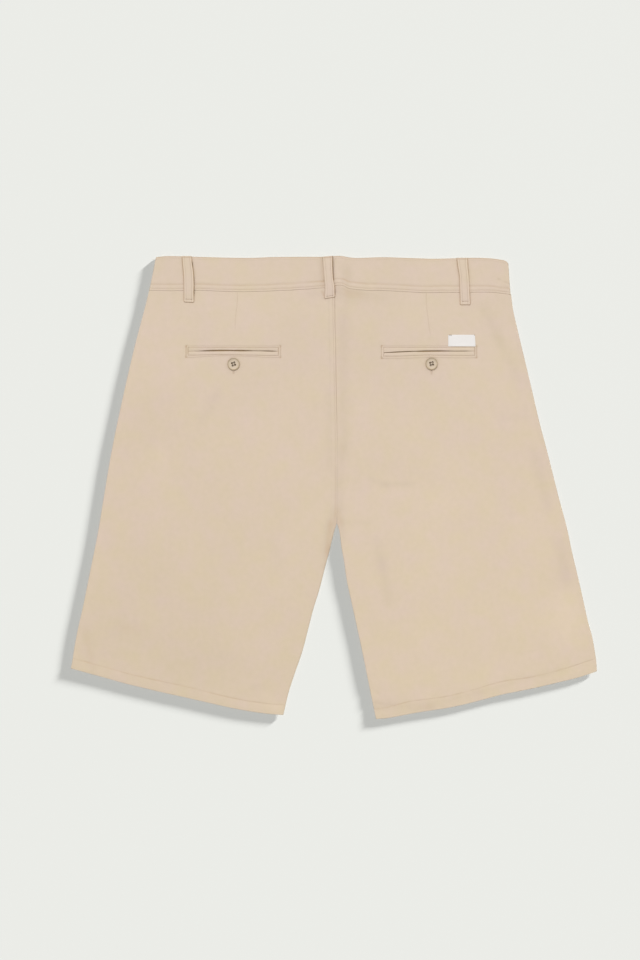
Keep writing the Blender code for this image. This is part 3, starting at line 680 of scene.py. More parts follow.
# Fine creases: start x and depth, end x and depth, half width, rise
backCreases = (
    (-3.0, 43.0, 9.0, 47.0, 1.6, -0.25),
    (5.0, 40.0, 22.0, 46.0, 2.2, -0.30),
    (-24.0, 47.0, -13.0, 55.0, 1.6, -0.30),
    (-40.0, 60.0, -24.0, 66.0, 4.0, -0.20),
    (14.0, 62.0, 34.0, 66.0, 4.0, -0.18),
    (-150.0, 140.0, -170.0, 168.0, 5.0, -0.20),
    (-96.0, 132.0, -80.0, 150.0, 5.0, 0.20),
    (150.0, 134.0, 166.0, 150.0, 4.5, -0.20),
    (84.0, 130.0, 70.0, 148.0, 4.5, 0.18),
    (196.0, 44.0, 207.0, 60.0, 4.0, -0.25),
    (-206.0, 48.0, -216.0, 64.0, 4.0, -0.22),
    (60.0, 300.0, 92.0, 316.0, 6.0, 0.25),
    (-70.0, 350.0, -96.0, 376.0, 6.0, -0.22),
    (-290.0, 452.0, -268.0, 462.0, 4.0, -0.22),
    (230.0, 498.0, 262.0, 488.0, 4.0, -0.25),
    (120.0, 520.0, 150.0, 512.0, 4.0, 0.20),
    (-120.0, 520.0, -94.0, 528.0, 4.0, -0.25),
    (46.0, 540.0, 60.0, 552.0, 3.0, -0.35),
    (44.0, 556.0, 70.0, 561.0, 2.2, -0.35),
    (-200.0, 506.0, -176.0, 500.0, 4.0, 0.20),
    (-5.0, 322.0, -15.0, 374.0, 3.4, -0.24),
    (7.0, 318.0, 11.5, 352.0, 3.0, -0.20),
    (-1.6, 306.0, -1.2, 326.0, 1.4, 0.14),
    (-9.0, 300.0, -6.0, 322.0, 3.4, -0.20),
    (9.5, 300.0, 7.0, 318.0, 3.4, -0.22),
)

# Broad differences of tone on the backs: x, depth, spread, amount
backTones = (
    (-230.0, 510.0, 150.0, -0.27),
    (-230.0, 250.0, 120.0, -0.07),
    (190.0, 330.0, 190.0, 0.09),
)

# Painted shade of soft folds, creases and the pockets' end rims, with some painted highlights: start x and depth, end x
# and depth, half width, tone
backShades = (
    (10.0, 50.0, 10.0, 240.0, 8.0, -0.27),
    (8.0, 240.0, 6.0, 320.0, 6.0, -0.18),
    (-8.0, 170.0, -8.0, 260.0, 5.0, -0.18),
    (1.0, 322.0, 1.0, 330.0, 7.5, -0.45),
    (-6.5, 334.0, -9.5, 366.0, 5.0, -0.75),
    (7.5, 330.0, 9.5, 350.0, 3.5, -0.30),
    (-16.2, 43.5, -12.9, 51.0, 1.4, -0.90),
    (-8.0, 366.0, -12.0, 384.0, 5.0, -0.45),
    (10.0, 42.0, 25.0, 46.0, 9.0, -0.42),
    (25.0, 46.0, 55.0, 50.0, 8.0, -0.20),
    (-30.0, 46.0, -8.0, 48.0, 6.0, -0.20),
    (187.0, 66.0, 203.0, 100.0, 7.0, -0.22),
    (203.0, 100.0, 228.0, 150.0, 7.0, -0.20),
    (212.0, 200.0, 237.0, 200.0, 5.0, -0.12),
    (250.0, 250.0, 266.0, 312.0, 8.0, -0.25),
    (281.0, 360.0, 288.0, 400.0, 8.0, -0.28),
    (46.0, 277.0, 62.0, 284.0, 4.0, -0.22),
    (62.0, 284.0, 92.0, 283.0, 4.0, -0.26),
    (53.0, 358.0, 58.0, 385.0, 7.0, -0.18),
    (58.0, 385.0, 66.0, 425.0, 7.0, -0.18),
    (8.0, 331.0, 40.0, 331.0, 5.0, -0.14),
    (-165.0, 200.0, -150.0, 175.0, 6.0, -0.18),
    (-219.0, 243.0, -217.0, 250.0, 8.0, 0.15),
    (1.0, 268.0, 1.0, 318.0, 3.5, -0.20),
    (-1.5, 98.0, -1.5, 130.0, 2.5, 0.22),
    (8.0, 36.0, 8.0, 58.0, 4.0, 0.22),
    (-262.0, 463.0, -250.0, 463.0, 9.0, -0.18),
    (-313.0, 466.0, -304.0, 508.0, 6.0, -0.22),
    (-75.0, 365.0, -70.0, 380.0, 9.0, -0.12),
    (-100.0, 536.0, -92.0, 536.0, 5.0, -0.18),
    (-85.0, 550.0, -70.0, 566.0, 8.0, 0.20),
    (50.0, 560.0, 115.0, 562.0, 6.0, -0.35),
    (115.0, 560.0, 180.0, 543.0, 5.0, -0.20),
    (180.0, 543.0, 280.0, 515.0, 5.0, -0.20),
    (-184.4, 114.0, -184.4, 120.0, 0.6, -1.10),
    (-187.0, 114.0, -187.0, 121.0, 0.7, 0.40),
    (-71.1, 113.5, -71.3, 121.0, 0.6, -0.90),
    (59.7, 114.0, 59.7, 121.0, 0.6, 0.60),
    (174.3, 114.0, 174.3, 121.0, 1.1, -0.55),
    (287.0, 440.0, 287.0, 466.0, 20.0, 0.25),
)


def footShift(side, x):                     # how far down the window's lower rim is bent
    pocket = pockets[side]
    beside = np.maximum(np.abs(x - pocket["x"]) - pocket["width"] / 2, 0.0)
    shift = follow(pocket["foot"], x) - pocket["depth"] - pocket["height"] / 2
    return shift * (1.0 - smoothstep(2.0, 9.0, beside))


def pocketRelief(side, x, depth):
    # Turned-in rim of the window, and the stitching round it
    pocket = pockets[side]
    beside = np.abs(x - pocket["x"]) - pocket["width"] / 2
    above = pocket["depth"] - pocket["height"] / 2 - depth
    below = depth - pocket["depth"] - pocket["height"] / 2 - footShift(side, x)
    out = np.maximum(beside, np.maximum(above, below))
    fromStitch = np.maximum(beside - pocketFrame["beside"],
                            np.maximum(above - pocketFrame["above"], below - follow(pocket["footStitch"], x)))
    atEnds = smoothstep(-1.0, 2.0, beside)
    underneath = smoothstep(0.0, 2.0, below) * smoothstep(1.0, -20.0, beside) * (1.1 if side == "left" else 1.0)
    waver = 1.0 + 0.3 * unevenWave(x + depth, 7.0, 57)
    groove = -lerp(*pocketFrame["groove"], atEnds) * (1.0 - 0.66 * underneath) * waver * swell(fromStitch, 0.5)
    rim = -lerp(*pocketFrame["rim"], atEnds) * swell(np.maximum(out, 0.0), 0.4)
    puff = pocketFrame["puff"] * swell(out - 1.1, 0.8)
    around = -pocketFrame["around"] * swell(fromStitch - 2.2, 2.4) * (1.0 - smoothstep(-1.0, 1.0, above))
    fromCorner = np.hypot(beside - pocketFrame["beside"], np.maximum(above + 1.3, below) - 2.2)
    corner = -pocketFrame["corner"] * swell(fromCorner, 1.4)
    return np.where(out > -0.01, puff + around, 0.0), np.where(out > -0.01, groove + rim + corner, 0.0)


def dartX(side, depth):
    rows = np.array(darts[side])
    return np.interp(depth, rows[:, 0], rows[:, 1])


def dartRelief(side, x, depth):
    start, foot = darts[side][0][0], darts[side][-1][0]
    fade = 1.0 - smoothstep(foot - 10.0, foot + 1.0, depth)
    across = x - dartX(side, depth)
    return fade * 0.12 * smoothstep(-0.2, 0.6, across) * swell(across, 5.0), -0.20 * fade * swell(across, 0.5)


def hemRelief(side, x, fromHem):
    seed = 11 if side == "left" else 27
    above = fromHem - follow(legs[side]["hemUp"], x)
    groove = -(hem["groove"] + hem["waver"] * unevenWave(x, 9.0, seed + 1)) * swell(above, 0.6)
    puff = hem["puff"] * swell(fromHem - 6.0, 4.0)
    valley = -hem["valley"] * (0.6 + 0.4 * unevenWave(x, 16.0, seed + 2))
    valley = valley * np.exp(-np.maximum(above, 0.0) / 4.0) * (above > 0.0)
    pucker = hem["pucker"] * unevenWave(x + 0.4 * fromHem, 7.5, seed) * swell(above - 0.6, 4.0)
    return puff + valley + pucker, groove


def backRelief(side, x, depth, fromHem):    # soft forms, and fine ones such as grooves, which fineTone darkens with painted shade
    fromCenter = np.abs(x - seamX(legs[side], depth))
    parts = pocketRelief(side, x, depth), dartRelief(side, x, depth), hemRelief(side, x, fromHem)
    soft, fine = (sum(part[i] for part in parts) for i in range(2))
    soft += foldHeight(backCreases, x, depth)
    seam = 1.0 - smoothstep(*plan["crotchSpan"], depth)
    fade = 1.0 - 0.6 * smoothstep(90.0, 200.0, depth)
    if side == "left":
        fine += seam * fade * (-panel["centerGroove"] * swell(fromCenter - panel["centerStitch"], 0.45)
                               - panel["imprintGroove"] * swell(fromCenter - panel["centerImprint"], 0.8))
        soft += seam * panel["centerRaised"] * (1.0 - smoothstep(6.6, 8.6, fromCenter))
    soft += seam * panel["centerPucker"] * unevenWave(depth, 13.0, 5) * swell(fromCenter, 7.0)
    belowBand = np.maximum(depth - bandFoot("back", x), 0.0)
    soft += panel["bandPucker"] * unevenWave(x, 12.0, 41) * np.exp(-belowBand / 9.0)
    broad, small = panel["rumple"]
    soft += broad * unevenWave(x * 0.8 + depth * 0.6, 17.0, 51) * unevenWave(depth * 0.9 - x * 0.4, 23.0, 52)
    soft += small * unevenWave(x * 0.3 - depth * 0.9, 8.0, 53) * unevenWave(x * 0.9 + depth * 0.3, 14.0, 54)
    return soft, fine


# Painted shade in grooves and creases: the deeper the fine relief, the darker the cloth
def fineTone(fine):
    return np.clip(fine * toneGain, -2.2, 0.2)


def broadTone(x, depth):
    return sum(amount * swell(np.hypot(x - x0, depth - d0), spread) for x0, d0, spread, amount in backTones)


def foldSection(radius):                    # distances inwards and up of a folded edge's columns, for each row
    radius = np.asarray(radius)[:, None]
    arcIn = radius * (1.0 - np.cos(foldTurns))
    arcUp = foldStart + (radius - foldStart) * np.sin(foldTurns)
    leadIn, leadUp = (np.ones_like(radius) * lead for lead in np.array(foldLead).T)
    return np.concatenate([leadIn, arcIn], axis=1), np.concatenate([leadUp, arcUp], axis=1)


def panelRows(side, fine):
    # Down a panel: evenly spaced but close together at the waistband, the pocket and the hem
    leg, pocket = legs[side], pockets[side]
    mean = (leg["side"][-1][0] + leg["inseam"][-1][0]) / 2
    top, foot = pocket["depth"] - pocket["height"] / 2, pocket["depth"] + pocket["height"] / 2
    widest = panel["widest"]
    if not fine:
        marks = ((plan["bandWidth"], 0.5, 4.0, 4.0), (plan["fanDepth"], 4.0, 4.0, 5.0), (mean - 26.0, 4.0, 0.8, 2.0),
                 (mean - hem["turn"], None, None, None))
    else:
        marks = ((plan["bandWidth"], 0.3, 0.42, widest), (top, 1.2, 1.2, 1.2), (foot, 0.42, widest, widest),
                 (plan["fanDepth"], widest, widest, widest), (mean - 30.0, widest, 0.8, widest),
                 (mean - 18.0, 0.75, 0.75, 0.75), (mean - hem["turn"], None, None, None))
    rows = []
    for (start, startStep, endStep, coarse), (end, _, _, _) in zip(marks, marks[1:]):
        rows += list(lerp(start, end, spaced(end - start, startStep, endStep, coarse))[:-1])
    return np.array(rows + [marks[-1][0]]), mean


def turnHem(outer, normals, tone, upFromHem):
    # The hem turns under and comes back up inside
    turn = hem["turn"]
    down = outer[-1] - outer[-2]
    down = down / np.linalg.norm(down, axis=1, keepdims=True)
    points, tones = [outer], [tone]
    for angle in np.radians((30, 60, 90, 120, 150, 180)):
        bent = outer[-1] + down * turn * math.sin(angle) - normals[-1] * turn * (1 - math.cos(angle))
        points.append(bent[None])
        tones.append(tone[-1:] * (1.0 - math.sin(angle / 2)))
    for up in hem["inside"]:
        i = int(np.argmin(np.abs(upFromHem - up)))
        points.append((outer[i] - normals[i] * 2 * turn)[None])
        tones.append(np.zeros((1, tone.shape[1])))
    return np.concatenate(points), np.concatenate(tones)


def panelUvs(points, folded, rowCount, sign):
    # They follow the cloth: across by x and on round the folded edge, down by depth and on round the hem
    run, drape = points[..., 0].copy(), -points[..., 1]
    stepOut = np.linalg.norm(np.diff(points[:, :folded + 1], axis=1), axis=2)
    run[:, :folded] = run[:, folded:folded + 1] + sign * np.cumsum(stepOut[:, ::-1], axis=1)[:, ::-1]
    stepDown = np.linalg.norm(np.diff(points[rowCount - 1:], axis=0), axis=2)
    drape[rowCount:] = drape[rowCount - 1] - np.cumsum(stepDown, axis=0)
    return joined(run, drape)


def wallWeights(shape, upFromHem):
    # Shares of the wall: thinner at the seams, under the waistband and where the hem is doubled
    weights = np.ones(shape)
    weights[:, :3] = panel["thinSide"]
    weights[:, -4:] = panel["thinSeam"]
    weights[:2] = np.minimum(weights[:2], panel["thinTop"])
    thin = np.full(shape[0], hem["thin"])
    thin[:len(upFromHem)] = lerp(hem["thin"], 1.0, smoothstep(*panel["doubled"], upFromHem))
    return weights * thin[:, None]


def makePanel(side, face):
    leg, pocket = legs[side], pockets[side]
    sign, back = leg["sign"], face == "back"
    rows, mean = panelRows(side, back)
    sideHem, innerHem = leg["side"][-1][0], leg["inseam"][-1][0]
    fan = np.maximum(rows - plan["fanDepth"], 0.0) / (mean - plan["fanDepth"])
    level = np.minimum(rows, plan["fanDepth"])
    sideDepth = level + fan * (sideHem - plan["fanDepth"])
    innerDepth = level + fan * (innerHem - plan["fanDepth"])

    def belowBand(x, row):
        shift = bandFoot(face, x) + 0.08 - plan["bandWidth"]
        return shift * (1.0 - smoothstep(plan["bandWidth"], 98.0, row))

    x0 = sideX(leg, sideDepth + belowBand(sideX(leg, sideDepth), rows))
    x1 = seamX(leg, innerDepth + belowBand(seamX(leg, innerDepth), rows)) + sign * plan["seamGap"]
    sideRadius, innerRadius = edgeRadius(leg, x0, sideDepth), edgeRadius(leg, x1, innerDepth)
    foldIn, foldUp = foldSection(sideRadius)
    innerIn, innerUp = foldSection(innerRadius)
    folded = smoothstep(*plan["crotchSpan"], innerDepth)[:, None]

    # Middle columns run between knots that keep to the pocket's ends and the dart, and fan out below the pocket
    knots = [x0 - sign * sideRadius, x1 + sign * nearSeam[-1]]
    widest = panel["widest"] if back else 5.0
    steps = [(1.2, widest)]
    if back:
        half = pocket["width"] / 2
        knots[1:1] = [np.full(len(rows), pocket["x"] + sign * half), dartX(side, rows),
                      np.full(len(rows), pocket["x"] - sign * half)]
        steps = [(1.2, 0.42), (0.42, 0.4), (0.4, 0.42), (0.42, 1.0)]
    reference = int(np.argmin(np.abs(rows - pocket["depth"])))
    columns, shares = [], []
    for start, end, (startStep, endStep) in zip(knots, knots[1:], steps):
        length = abs(end[reference] - start[reference])
        for t in spaced(length, startStep, endStep, widest)[1 if not columns else 0:-1]:
            place = lerp(start, end, t)
            columns.append(place)
            shares.append((place[reference] - x0[reference]) / (x1[reference] - x0[reference]))
    middle, share = np.stack(columns, axis=1), np.array(shares)[None, :]
    fanned = lerp(x0[:, None], x1[:, None], share)
    middle = lerp(middle, fanned, smoothstep(135.0, plan["fanDepth"], rows)[:, None])

    inner = np.tile(nearSeam, (len(rows), 1))
    count = foldIn.shape[1]
    inner[:, :count] = lerp(inner[:, :count], innerIn, folded)
    x = np.concatenate([x0[:, None] - sign * foldIn, middle, x1[:, None] + sign * inner[:, ::-1]], axis=1)
    u = (x - x0[:, None]) / (x1 - x0)[:, None]
    bow = follow(leg["hemBow"], np.clip(u, 0.0, 1.0))
    bow = bow * smoothstep(0.5, 1.0, (sideDepth - plan["bandWidth"]) / (sideHem - plan["bandWidth"]))[:, None]
    depth = lerp(sideDepth[:, None], innerDepth[:, None], u) + belowBand(x, rows[:, None]) + bow
    plain = depth
    if back:
        foot = pocket["depth"] + pocket["height"] / 2
        depth = depth + footShift(side, x) * swell(depth - foot, 5.0)
    hemSlope = math.cos(math.atan2(innerHem - sideHem, abs(leg["inseam"][-1][1] - leg["side"][-1][1])))
    fromHem = lerp((sideHem - sideDepth)[:, None], (innerHem - innerDepth)[:, None], u) * hemSlope

    # Heights: how far below the crest each column lies at the side, and at the seam or the inseam
    drop = np.zeros_like(x)
    drop[:, :count] = sideRadius[:, None] - foldUp
    seamDrop = 0.5 * swell(nearSeam[:count], 0.4)
    clear = 1.0 - 0.8 * smoothstep(170.0, 265.0, innerDepth)[:, None]       # how clearly the centre seam shows
    drop[:, -count:] = lerp(seamDrop * clear, innerRadius[:, None] - innerUp, folded)[:, ::-1]
    belowTop = (rows - plan["bandWidth"])[:, None]
    drop += panel["bandDrop"] * swell(belowTop, 0.4)
    if back:
        soft, fine = backRelief(side, x, depth, fromHem)
        ease = np.ones_like(x)
        ease[:, :count] = foldUp / foldUp[:, -1:] * (np.arange(count) > 2)
        height = legTop(leg, x, depth) - drop + (soft + fine) * ease
        # The tone paints shade into the grooves and soft folds, with some painted highlights, over the broad tone
        tone = fineTone(fine) + broadTone(x, depth) + foldHeight(backShades, x, depth)
        # Painted shade on the cloth under each button, which shows dark through its holes
        underButton = np.hypot(x - pocketButtons[side][0], depth - pocketButtons[side][1])
        tone -= 5.2 * swell(underButton, 3.8)
    else:
        relief = frontRelief(side, x, depth, fromHem)
        height = underHeight(x, depth) + drop + relief * (1.0 - nearWaist(depth))
        tone = np.zeros_like(x)
    # Painted shade along the centre seam
    tone[:, -count:] -= (0.5 * swell(nearSeam[:count], 0.4) * clear * (1.0 - folded))[:, ::-1]

    outer = joined(x, depth, height)
    normals = surfaceNormals(outer) * (-sign if back else sign)      # columns of the right legs run towards -x
    points, tone = turnHem(outer, normals, tone, mean - rows)
    uv = panelUvs(points, count, len(rows), sign)
    weights = wallWeights(points.shape[:2], mean - rows)
    points, uv, tone, weights = (grid[:, ::-sign] for grid in (points, uv, tone, weights))
    obj, row, column = gridObject(f"{face}{side.capitalize()}Panel", points, uv, tone, flipped=not back)
    if back:
        closed, strict = (inWindow(x, plain, pocket, margin, len(points))[:, ::-sign] for margin in (-0.02, 0.02))
        cutWindow(obj, closed[row, column])
        kept = ~strict[row, column]          # the window's own points are gone
        row, column = row[kept], column[kept]
    addWall(obj, panel["cloth"], weights[row, column])
    return finishPiece(obj, finishes["twill"], [f"{face}_{side}"])


def inWindow(x, depth, pocket, margin, rows):
    inside = ((np.abs(x - pocket["x"]) < pocket["width"] / 2 - margin)
              & (np.abs(depth - pocket["depth"]) < pocket["height"] / 2 - margin))
    return np.concatenate([inside, np.zeros((rows - len(inside), inside.shape[1]), bool)])


def cutWindow(obj, inside):
    # The pocket's window: faces with all their corners in it or on its rim are taken out
    editFaces(obj, inside[cornerVertices(obj.data)].reshape(-1, 4).all(axis=1))
    bpy.ops.mesh.delete(type="FACE")
    bpy.ops.mesh.select_mode(type="VERT")
    leaveEdit()


# Soft hollows of the fronts, which lie on the floor
frontHollows = (
    (-60.0, 230.0, -150.0, 300.0, 18.0, 0.45),
    (-240.0, 380.0, -190.0, 450.0, 20.0, 0.40),
    (-120.0, 430.0, -90.0, 500.0, 15.0, 0.35),
    (70.0, 210.0, 150.0, 290.0, 17.0, 0.45),
    (120.0, 380.0, 170.0, 470.0, 22.0, 0.40),
    (250.0, 330.0, 262.0, 420.0, 12.0, 0.35),
)


def frontRelief(side, x, depth, fromHem):
    above = fromHem - follow(legs[side]["hemUp"], x)
    groove = 0.3 * swell(above, 0.8)
    pucker = 0.14 * (1.0 + unevenWave(x + 0.4 * fromHem, 7.0, 61)) * swell(above, 4.5)
    return foldHeight(frontHollows, x, depth) + groove + pucker


backs = {side: makePanel(side, "back") for side in legs}
fronts = {side: makePanel(side, "front") for side in legs}
for obj in (*backs.values(), *fronts.values()):
    print("panel:", obj.name, len(obj.data.polygons), "faces")

# Waistband: two halves from the centre back round the sides to the centre front
band = {
    "cloth": 1.8,
    "start": -2.4,            # x of the centre back seam in the waistband
    "tabEnd": 15.0,
    "stitch": 2.8,            # up from its lower edge
    "allowance": 8.3,         # up to where the seam allowance inside ends
    "topStitch": 3.0,
    "coarse": 2.2,
    "groove": 0.20, "waver": 0.08, "pucker": 0.14, "rumple": 0.05,
    "raised": 0.20, "raisedEdge": 0.29, "edgeWaver": 0.07,    # over the seam allowance
}
bandFolds = (
    (-18.1, -5.0, -17.0, 30.0, 4.5, -0.35),
    (11.9, -5.0, 11.0, 28.0, 4.0, -0.45),
    (3.5, -5.0, 3.5, 20.0, 3.5, 0.30),
    (-118.0, 6.0, -112.0, 30.0, 9.0, -0.20),
    (-60.0, 10.0, -52.0, 34.0, 10.0, 0.20),
    (62.0, 4.0, 60.0, 26.0, 9.0, -0.22),
    (128.0, 8.0, 120.0, 30.0, 10.0, 0.20),
    (-206.0, 14.0, -200.0, 30.0, 6.0, -0.20),
    (28.0, 30.0, 46.0, 34.0, 3.0, -0.20),
)
bandCreases = (
    (203.0, 27.0, 217.0, 32.4, 0.7, -0.20),
    (212.0, 35.6, 219.0, 39.2, 0.7, -0.16),
    (24.0, 31.0, 40.0, 33.6, 0.8, -0.10),
    (-13.0, 2.0, -14.0, 30.0, 1.6, -0.07),
)
bandShades = (                               # painted shade beside the belt loops, and a painted highlight: start x and depth, end x and depth, half width, tone
    (-17.0, 0.0, -15.5, 38.0, 4.5, -0.55),
    (14.5, 19.0, 14.0, 26.0, 7.0, -0.40),
    (4.0, 24.0, 5.0, 36.0, 4.0, 0.22),
)


def bandRelief(x, depth, fromFoot):
    fine = -(band["groove"] + band["waver"] * unevenWave(x, 9.0, 71)) * swell(fromFoot - band["stitch"], 0.6)
    allowance = band["allowance"] - 1.25 * smoothstep(185.0, 205.0, x)
    atEdge = band["raisedEdge"] + band["edgeWaver"] * unevenWave(x, 15.0, 75)
    fine = fine - atEdge * swell(fromFoot - allowance, 0.95)
    fine = fine + foldHeight(bandCreases, x, depth)
    soft = band["raised"] * (1.0 - smoothstep(-0.8, 0.6, fromFoot - allowance))
    soft = soft + band["pucker"] * unevenWave(x, 6.0, 72) * swell(fromFoot - band["stitch"], 3.0)
    soft = soft + band["rumple"] * unevenWave(x + depth * 0.3, 15.0, 73) * unevenWave(depth, 18.0, 74)
    return soft + foldHeight(bandFolds, x, depth), fine


def makeWaistband(side):
    leg = legs[side]
    sign = leg["sign"]
    start = band["start"] + sign * plan["seamGap"]
    end = band["tabEnd"] if side == "left" else band["tabEnd"] + 0.12
    radius = float(bandThick(sideX(leg, 0.0))) / 2
    width, half = plan["bandWidth"], band["cloth"] / 2

    # Round the section: how far down from the top edge (0 to 1 of the width), plus a step in mm, and how far in
    up = spaced(width - half - 0.9, 0.4, 0.5, band["coarse"], 0.12)[::-1]
    outerUp = lerp(half, width - 0.9, up)
    section = [(width - 0.02, 0.5), (width - 0.04, 0.3), (width - 0.1, 0.14), (width - 0.3, 0.03)]
    section += [(place, 0.0) for place in outerUp]
    section += [(half * (1 - math.sin(a)), half * (1 - math.cos(a)))
                for a in np.radians((22, 45, 68, 90, 112, 135, 158, 180))]
    section += [(place, band["cloth"]) for place in np.linspace(half + 3.0, width - 1.0, 12)]
    section += [(width - 0.3, band["cloth"] - 0.2)]
    down, inward = np.array(section).T
    outer = inward < 0.1

    span = abs(sideX(leg, 0.0) - start)
    onBack = spaced(span, 0.35, 0.5, band["coarse"], 0.06)
    turns = np.linspace(0.0, math.pi, 13)[1:-1]
    onFront = spaced(abs(sideX(leg, 0.0) - end), 1.0, 0.6, 3.5, 0.1)
    foldX = sideX(leg, down)
    insideX = foldX - sign * radius
    columns = []                             # along the band: x, height, and the outward direction in x and z
    for t in onBack:
        x = lerp(start, insideX, t)
        columns.append((x, bandTopHeight(x), 0.0, 1.0, "back"))
    for a in turns:
        columns.append((insideX + sign * radius * math.sin(a), bandRest(insideX) + radius * (1 + math.cos(a)),
                        sign * math.sin(a), math.cos(a), "back"))
    for t in onFront:
        x = lerp(insideX, end, t)
        columns.append((x, bandUnderHeight(x), 0.0, -1.0, "front"))
    sections, uvs, tones, run = [], [], [], 0.0
    around = runLength(down, inward)
    for x, height, outX, outZ, face in columns:
        top = follow(bandTopEdge, x)
        if face == "front":
            top = np.maximum(top, 0.4)
        foot = bandFoot(face, x)
        depth = top + down / width * (foot - top)
        soft, fine = bandRelief(x, depth, foot - depth)
        atSeam = swell(x - start, 0.4) if face == "back" else 0.0
        out = -inward + np.where(outer, soft + fine, 0.0) * max(outZ, 0.0) \
            - 0.55 * atSeam * np.clip(1.0 - inward, 0.0, 1.0)
        place = joined(x + outX * out, depth, height + outZ * out)
        if sections:                         # the run is measured near the foot
            run += float(np.linalg.norm(place[8] - sections[-1][8]))
        sections.append(place)
        # Painted shade: the grooves and soft shades of the back band, a dark line along the band's top edge and one at
        # the centre back seam
        tone = np.where(outer, fineTone(fine) + foldHeight(bandShades, x, depth), 0.0) * (face == "back")
        tones.append(tone - (1.0 - smoothstep(0.9, 1.5, down)) - 0.4 * atSeam)
        uvs.append(joined(around, sign * run))
    obj = closedTube(f"waistband{side.capitalize()}", sections, uvs, tones)
    return finishPiece(obj, finishes["twill"], [f"waistband_{side}"])


bands = {side: makeWaistband(side) for side in legs}
for obj in bands.values():
    print("waistband:", obj.name, len(obj.data.polygons), "faces")

# Belt loops: flat tubes over the waistband, each foot tacked to its panel
loop = {"width": 12.8, "cloth": 1.1, "gap": 0.2, "arch": 0.45, "stitch": 3.4, "corner": 1.9}
# Rows of depth, x and width; how the head and the foot slant; how far above the foot it is tacked; lift of
# the two edges; and rows of depth and how dark the painted shadow is at the left and the right edge
backLoops = {
    "belt_loop_back_left": (((-1.6, -185.9, 12.2), (8.0, -184.9, 13.1), (21.0, -183.5, 13.6), (34.0, -183.0, 13.5),
                             (46.0, -183.0, 13.2), (56.2, -183.1, 13.3)), (0.0, 0.07), 3.6, (0.0, 0.6),
                            ((-1.0, 2.1, 1.8), (3.0, 2.4, 2.5), (7.0, 2.5, 5.2), (13.0, 2.5, 3.7), (28.0, 2.1, 3.6),
                             (36.0, 1.8, 2.8), (43.0, 1.7, 4.5), (51.0, 1.7, 1.8), (56.0, 1.7, 1.6))),
    "belt_loop_back_center": (((-1.0, -10.1, 12.9), (14.0, -9.1, 11.9), (28.0, -8.2, 11.6), (38.0, -7.0, 12.7),
                               (51.0, -7.2, 13.8)), (-0.09, -0.15), 2.4, (0.0, 0.8),
                              ((-1.0, 0.9, 3.8), (12.0, 0.6, 4.5), (26.0, 0.7, 3.4), (34.0, 0.9, 1.5), (38.0, 1.0, 2.9),
                               (44.0, 1.0, 3.8), (50.0, 1.2, 1.8))),
    "belt_loop_back_right": (((0.6, 158.1, 14.3), (12.0, 159.0, 13.4), (24.0, 160.6, 12.6), (36.0, 161.0, 12.5),
                              (48.0, 161.6, 13.0), (59.4, 162.0, 13.7)), (0.0, 0.0), 4.3, (0.3, 0.2),
                             ((-1.0, 1.8, 2.1), (14.0, 2.5, 2.2), (21.0, 2.2, 2.0), (30.0, 1.7, 1.2), (38.0, 1.6, 1.2),
                              (44.0, 1.8, 1.8), (58.0, 2.0, 1.8))),
}
frontLoops = {
    f"belt_loop_front_{side}": (path, (0.0, 0.0), 3.5, (0.0, 0.0), ((0.0, 1.0, 1.0), (57.0, 1.0, 1.0)))
    for side, path in (("left", ((0.9, -108.0, 12.4), (28.0, -108.3, 12.6), (57.0, -108.0, 12.8))),
                       ("right", ((1.2, 106.0, 12.4), (30.0, 106.2, 12.6), (57.5, 106.0, 12.8))))
}


def loopRest(x, depth):                      # what a loop on the back lies on
    onPanel = smoothstep(plan["bandWidth"] - 3.0, plan["bandWidth"] + 8.0, depth)
    over = bandTopHeight(x)
    return lerp(over, np.maximum(topHeight(x, depth), over - lie["bandStep"]), onPanel)


def loopPlace(row, s, share):                # x, depth and rise at a distance from the top and a share across it
    path, (headSlant, footSlant), tack, (leftLift, rightLift), _ = row
    top, foot = path[0][0], path[-1][0]
    length = foot - top
    middle = follow([(at, x) for at, x, _ in path], top + s)
    wide = share * follow([(at, width) for at, _, width in path], top + s) / 2
    lift = lerp(leftLift, rightLift, (share + 1) / 2) * smoothstep(0.0, 9.0, s) \
        * (1.0 - smoothstep(length - 12.0, length - 3.0, s))
    arch = loop["arch"] * np.sin(np.pi * np.minimum(s / (length - 4.0), 1.0))
    tacked = -0.26 * swell(s - (length - tack), 0.8) * smoothstep(5.4, 4.4, np.abs(wide))
    slant = lerp(headSlant, 0.0, smoothstep(0.0, 10.0, s)) + footSlant * smoothstep(length - 16.0, length, s)
    depth = top + s + slant * wide
    return middle + wide, depth, lift + arch + tacked


def sewLoop(group, row, s, share, sunk, **sizes):
    x, depth, level = loopPlace(row, s, share)
    level = level + loopRest(x, depth) + loop["gap"] + loop["cloth"]
    stitchAlong(group, x, depth, level + sunk, **sizes)


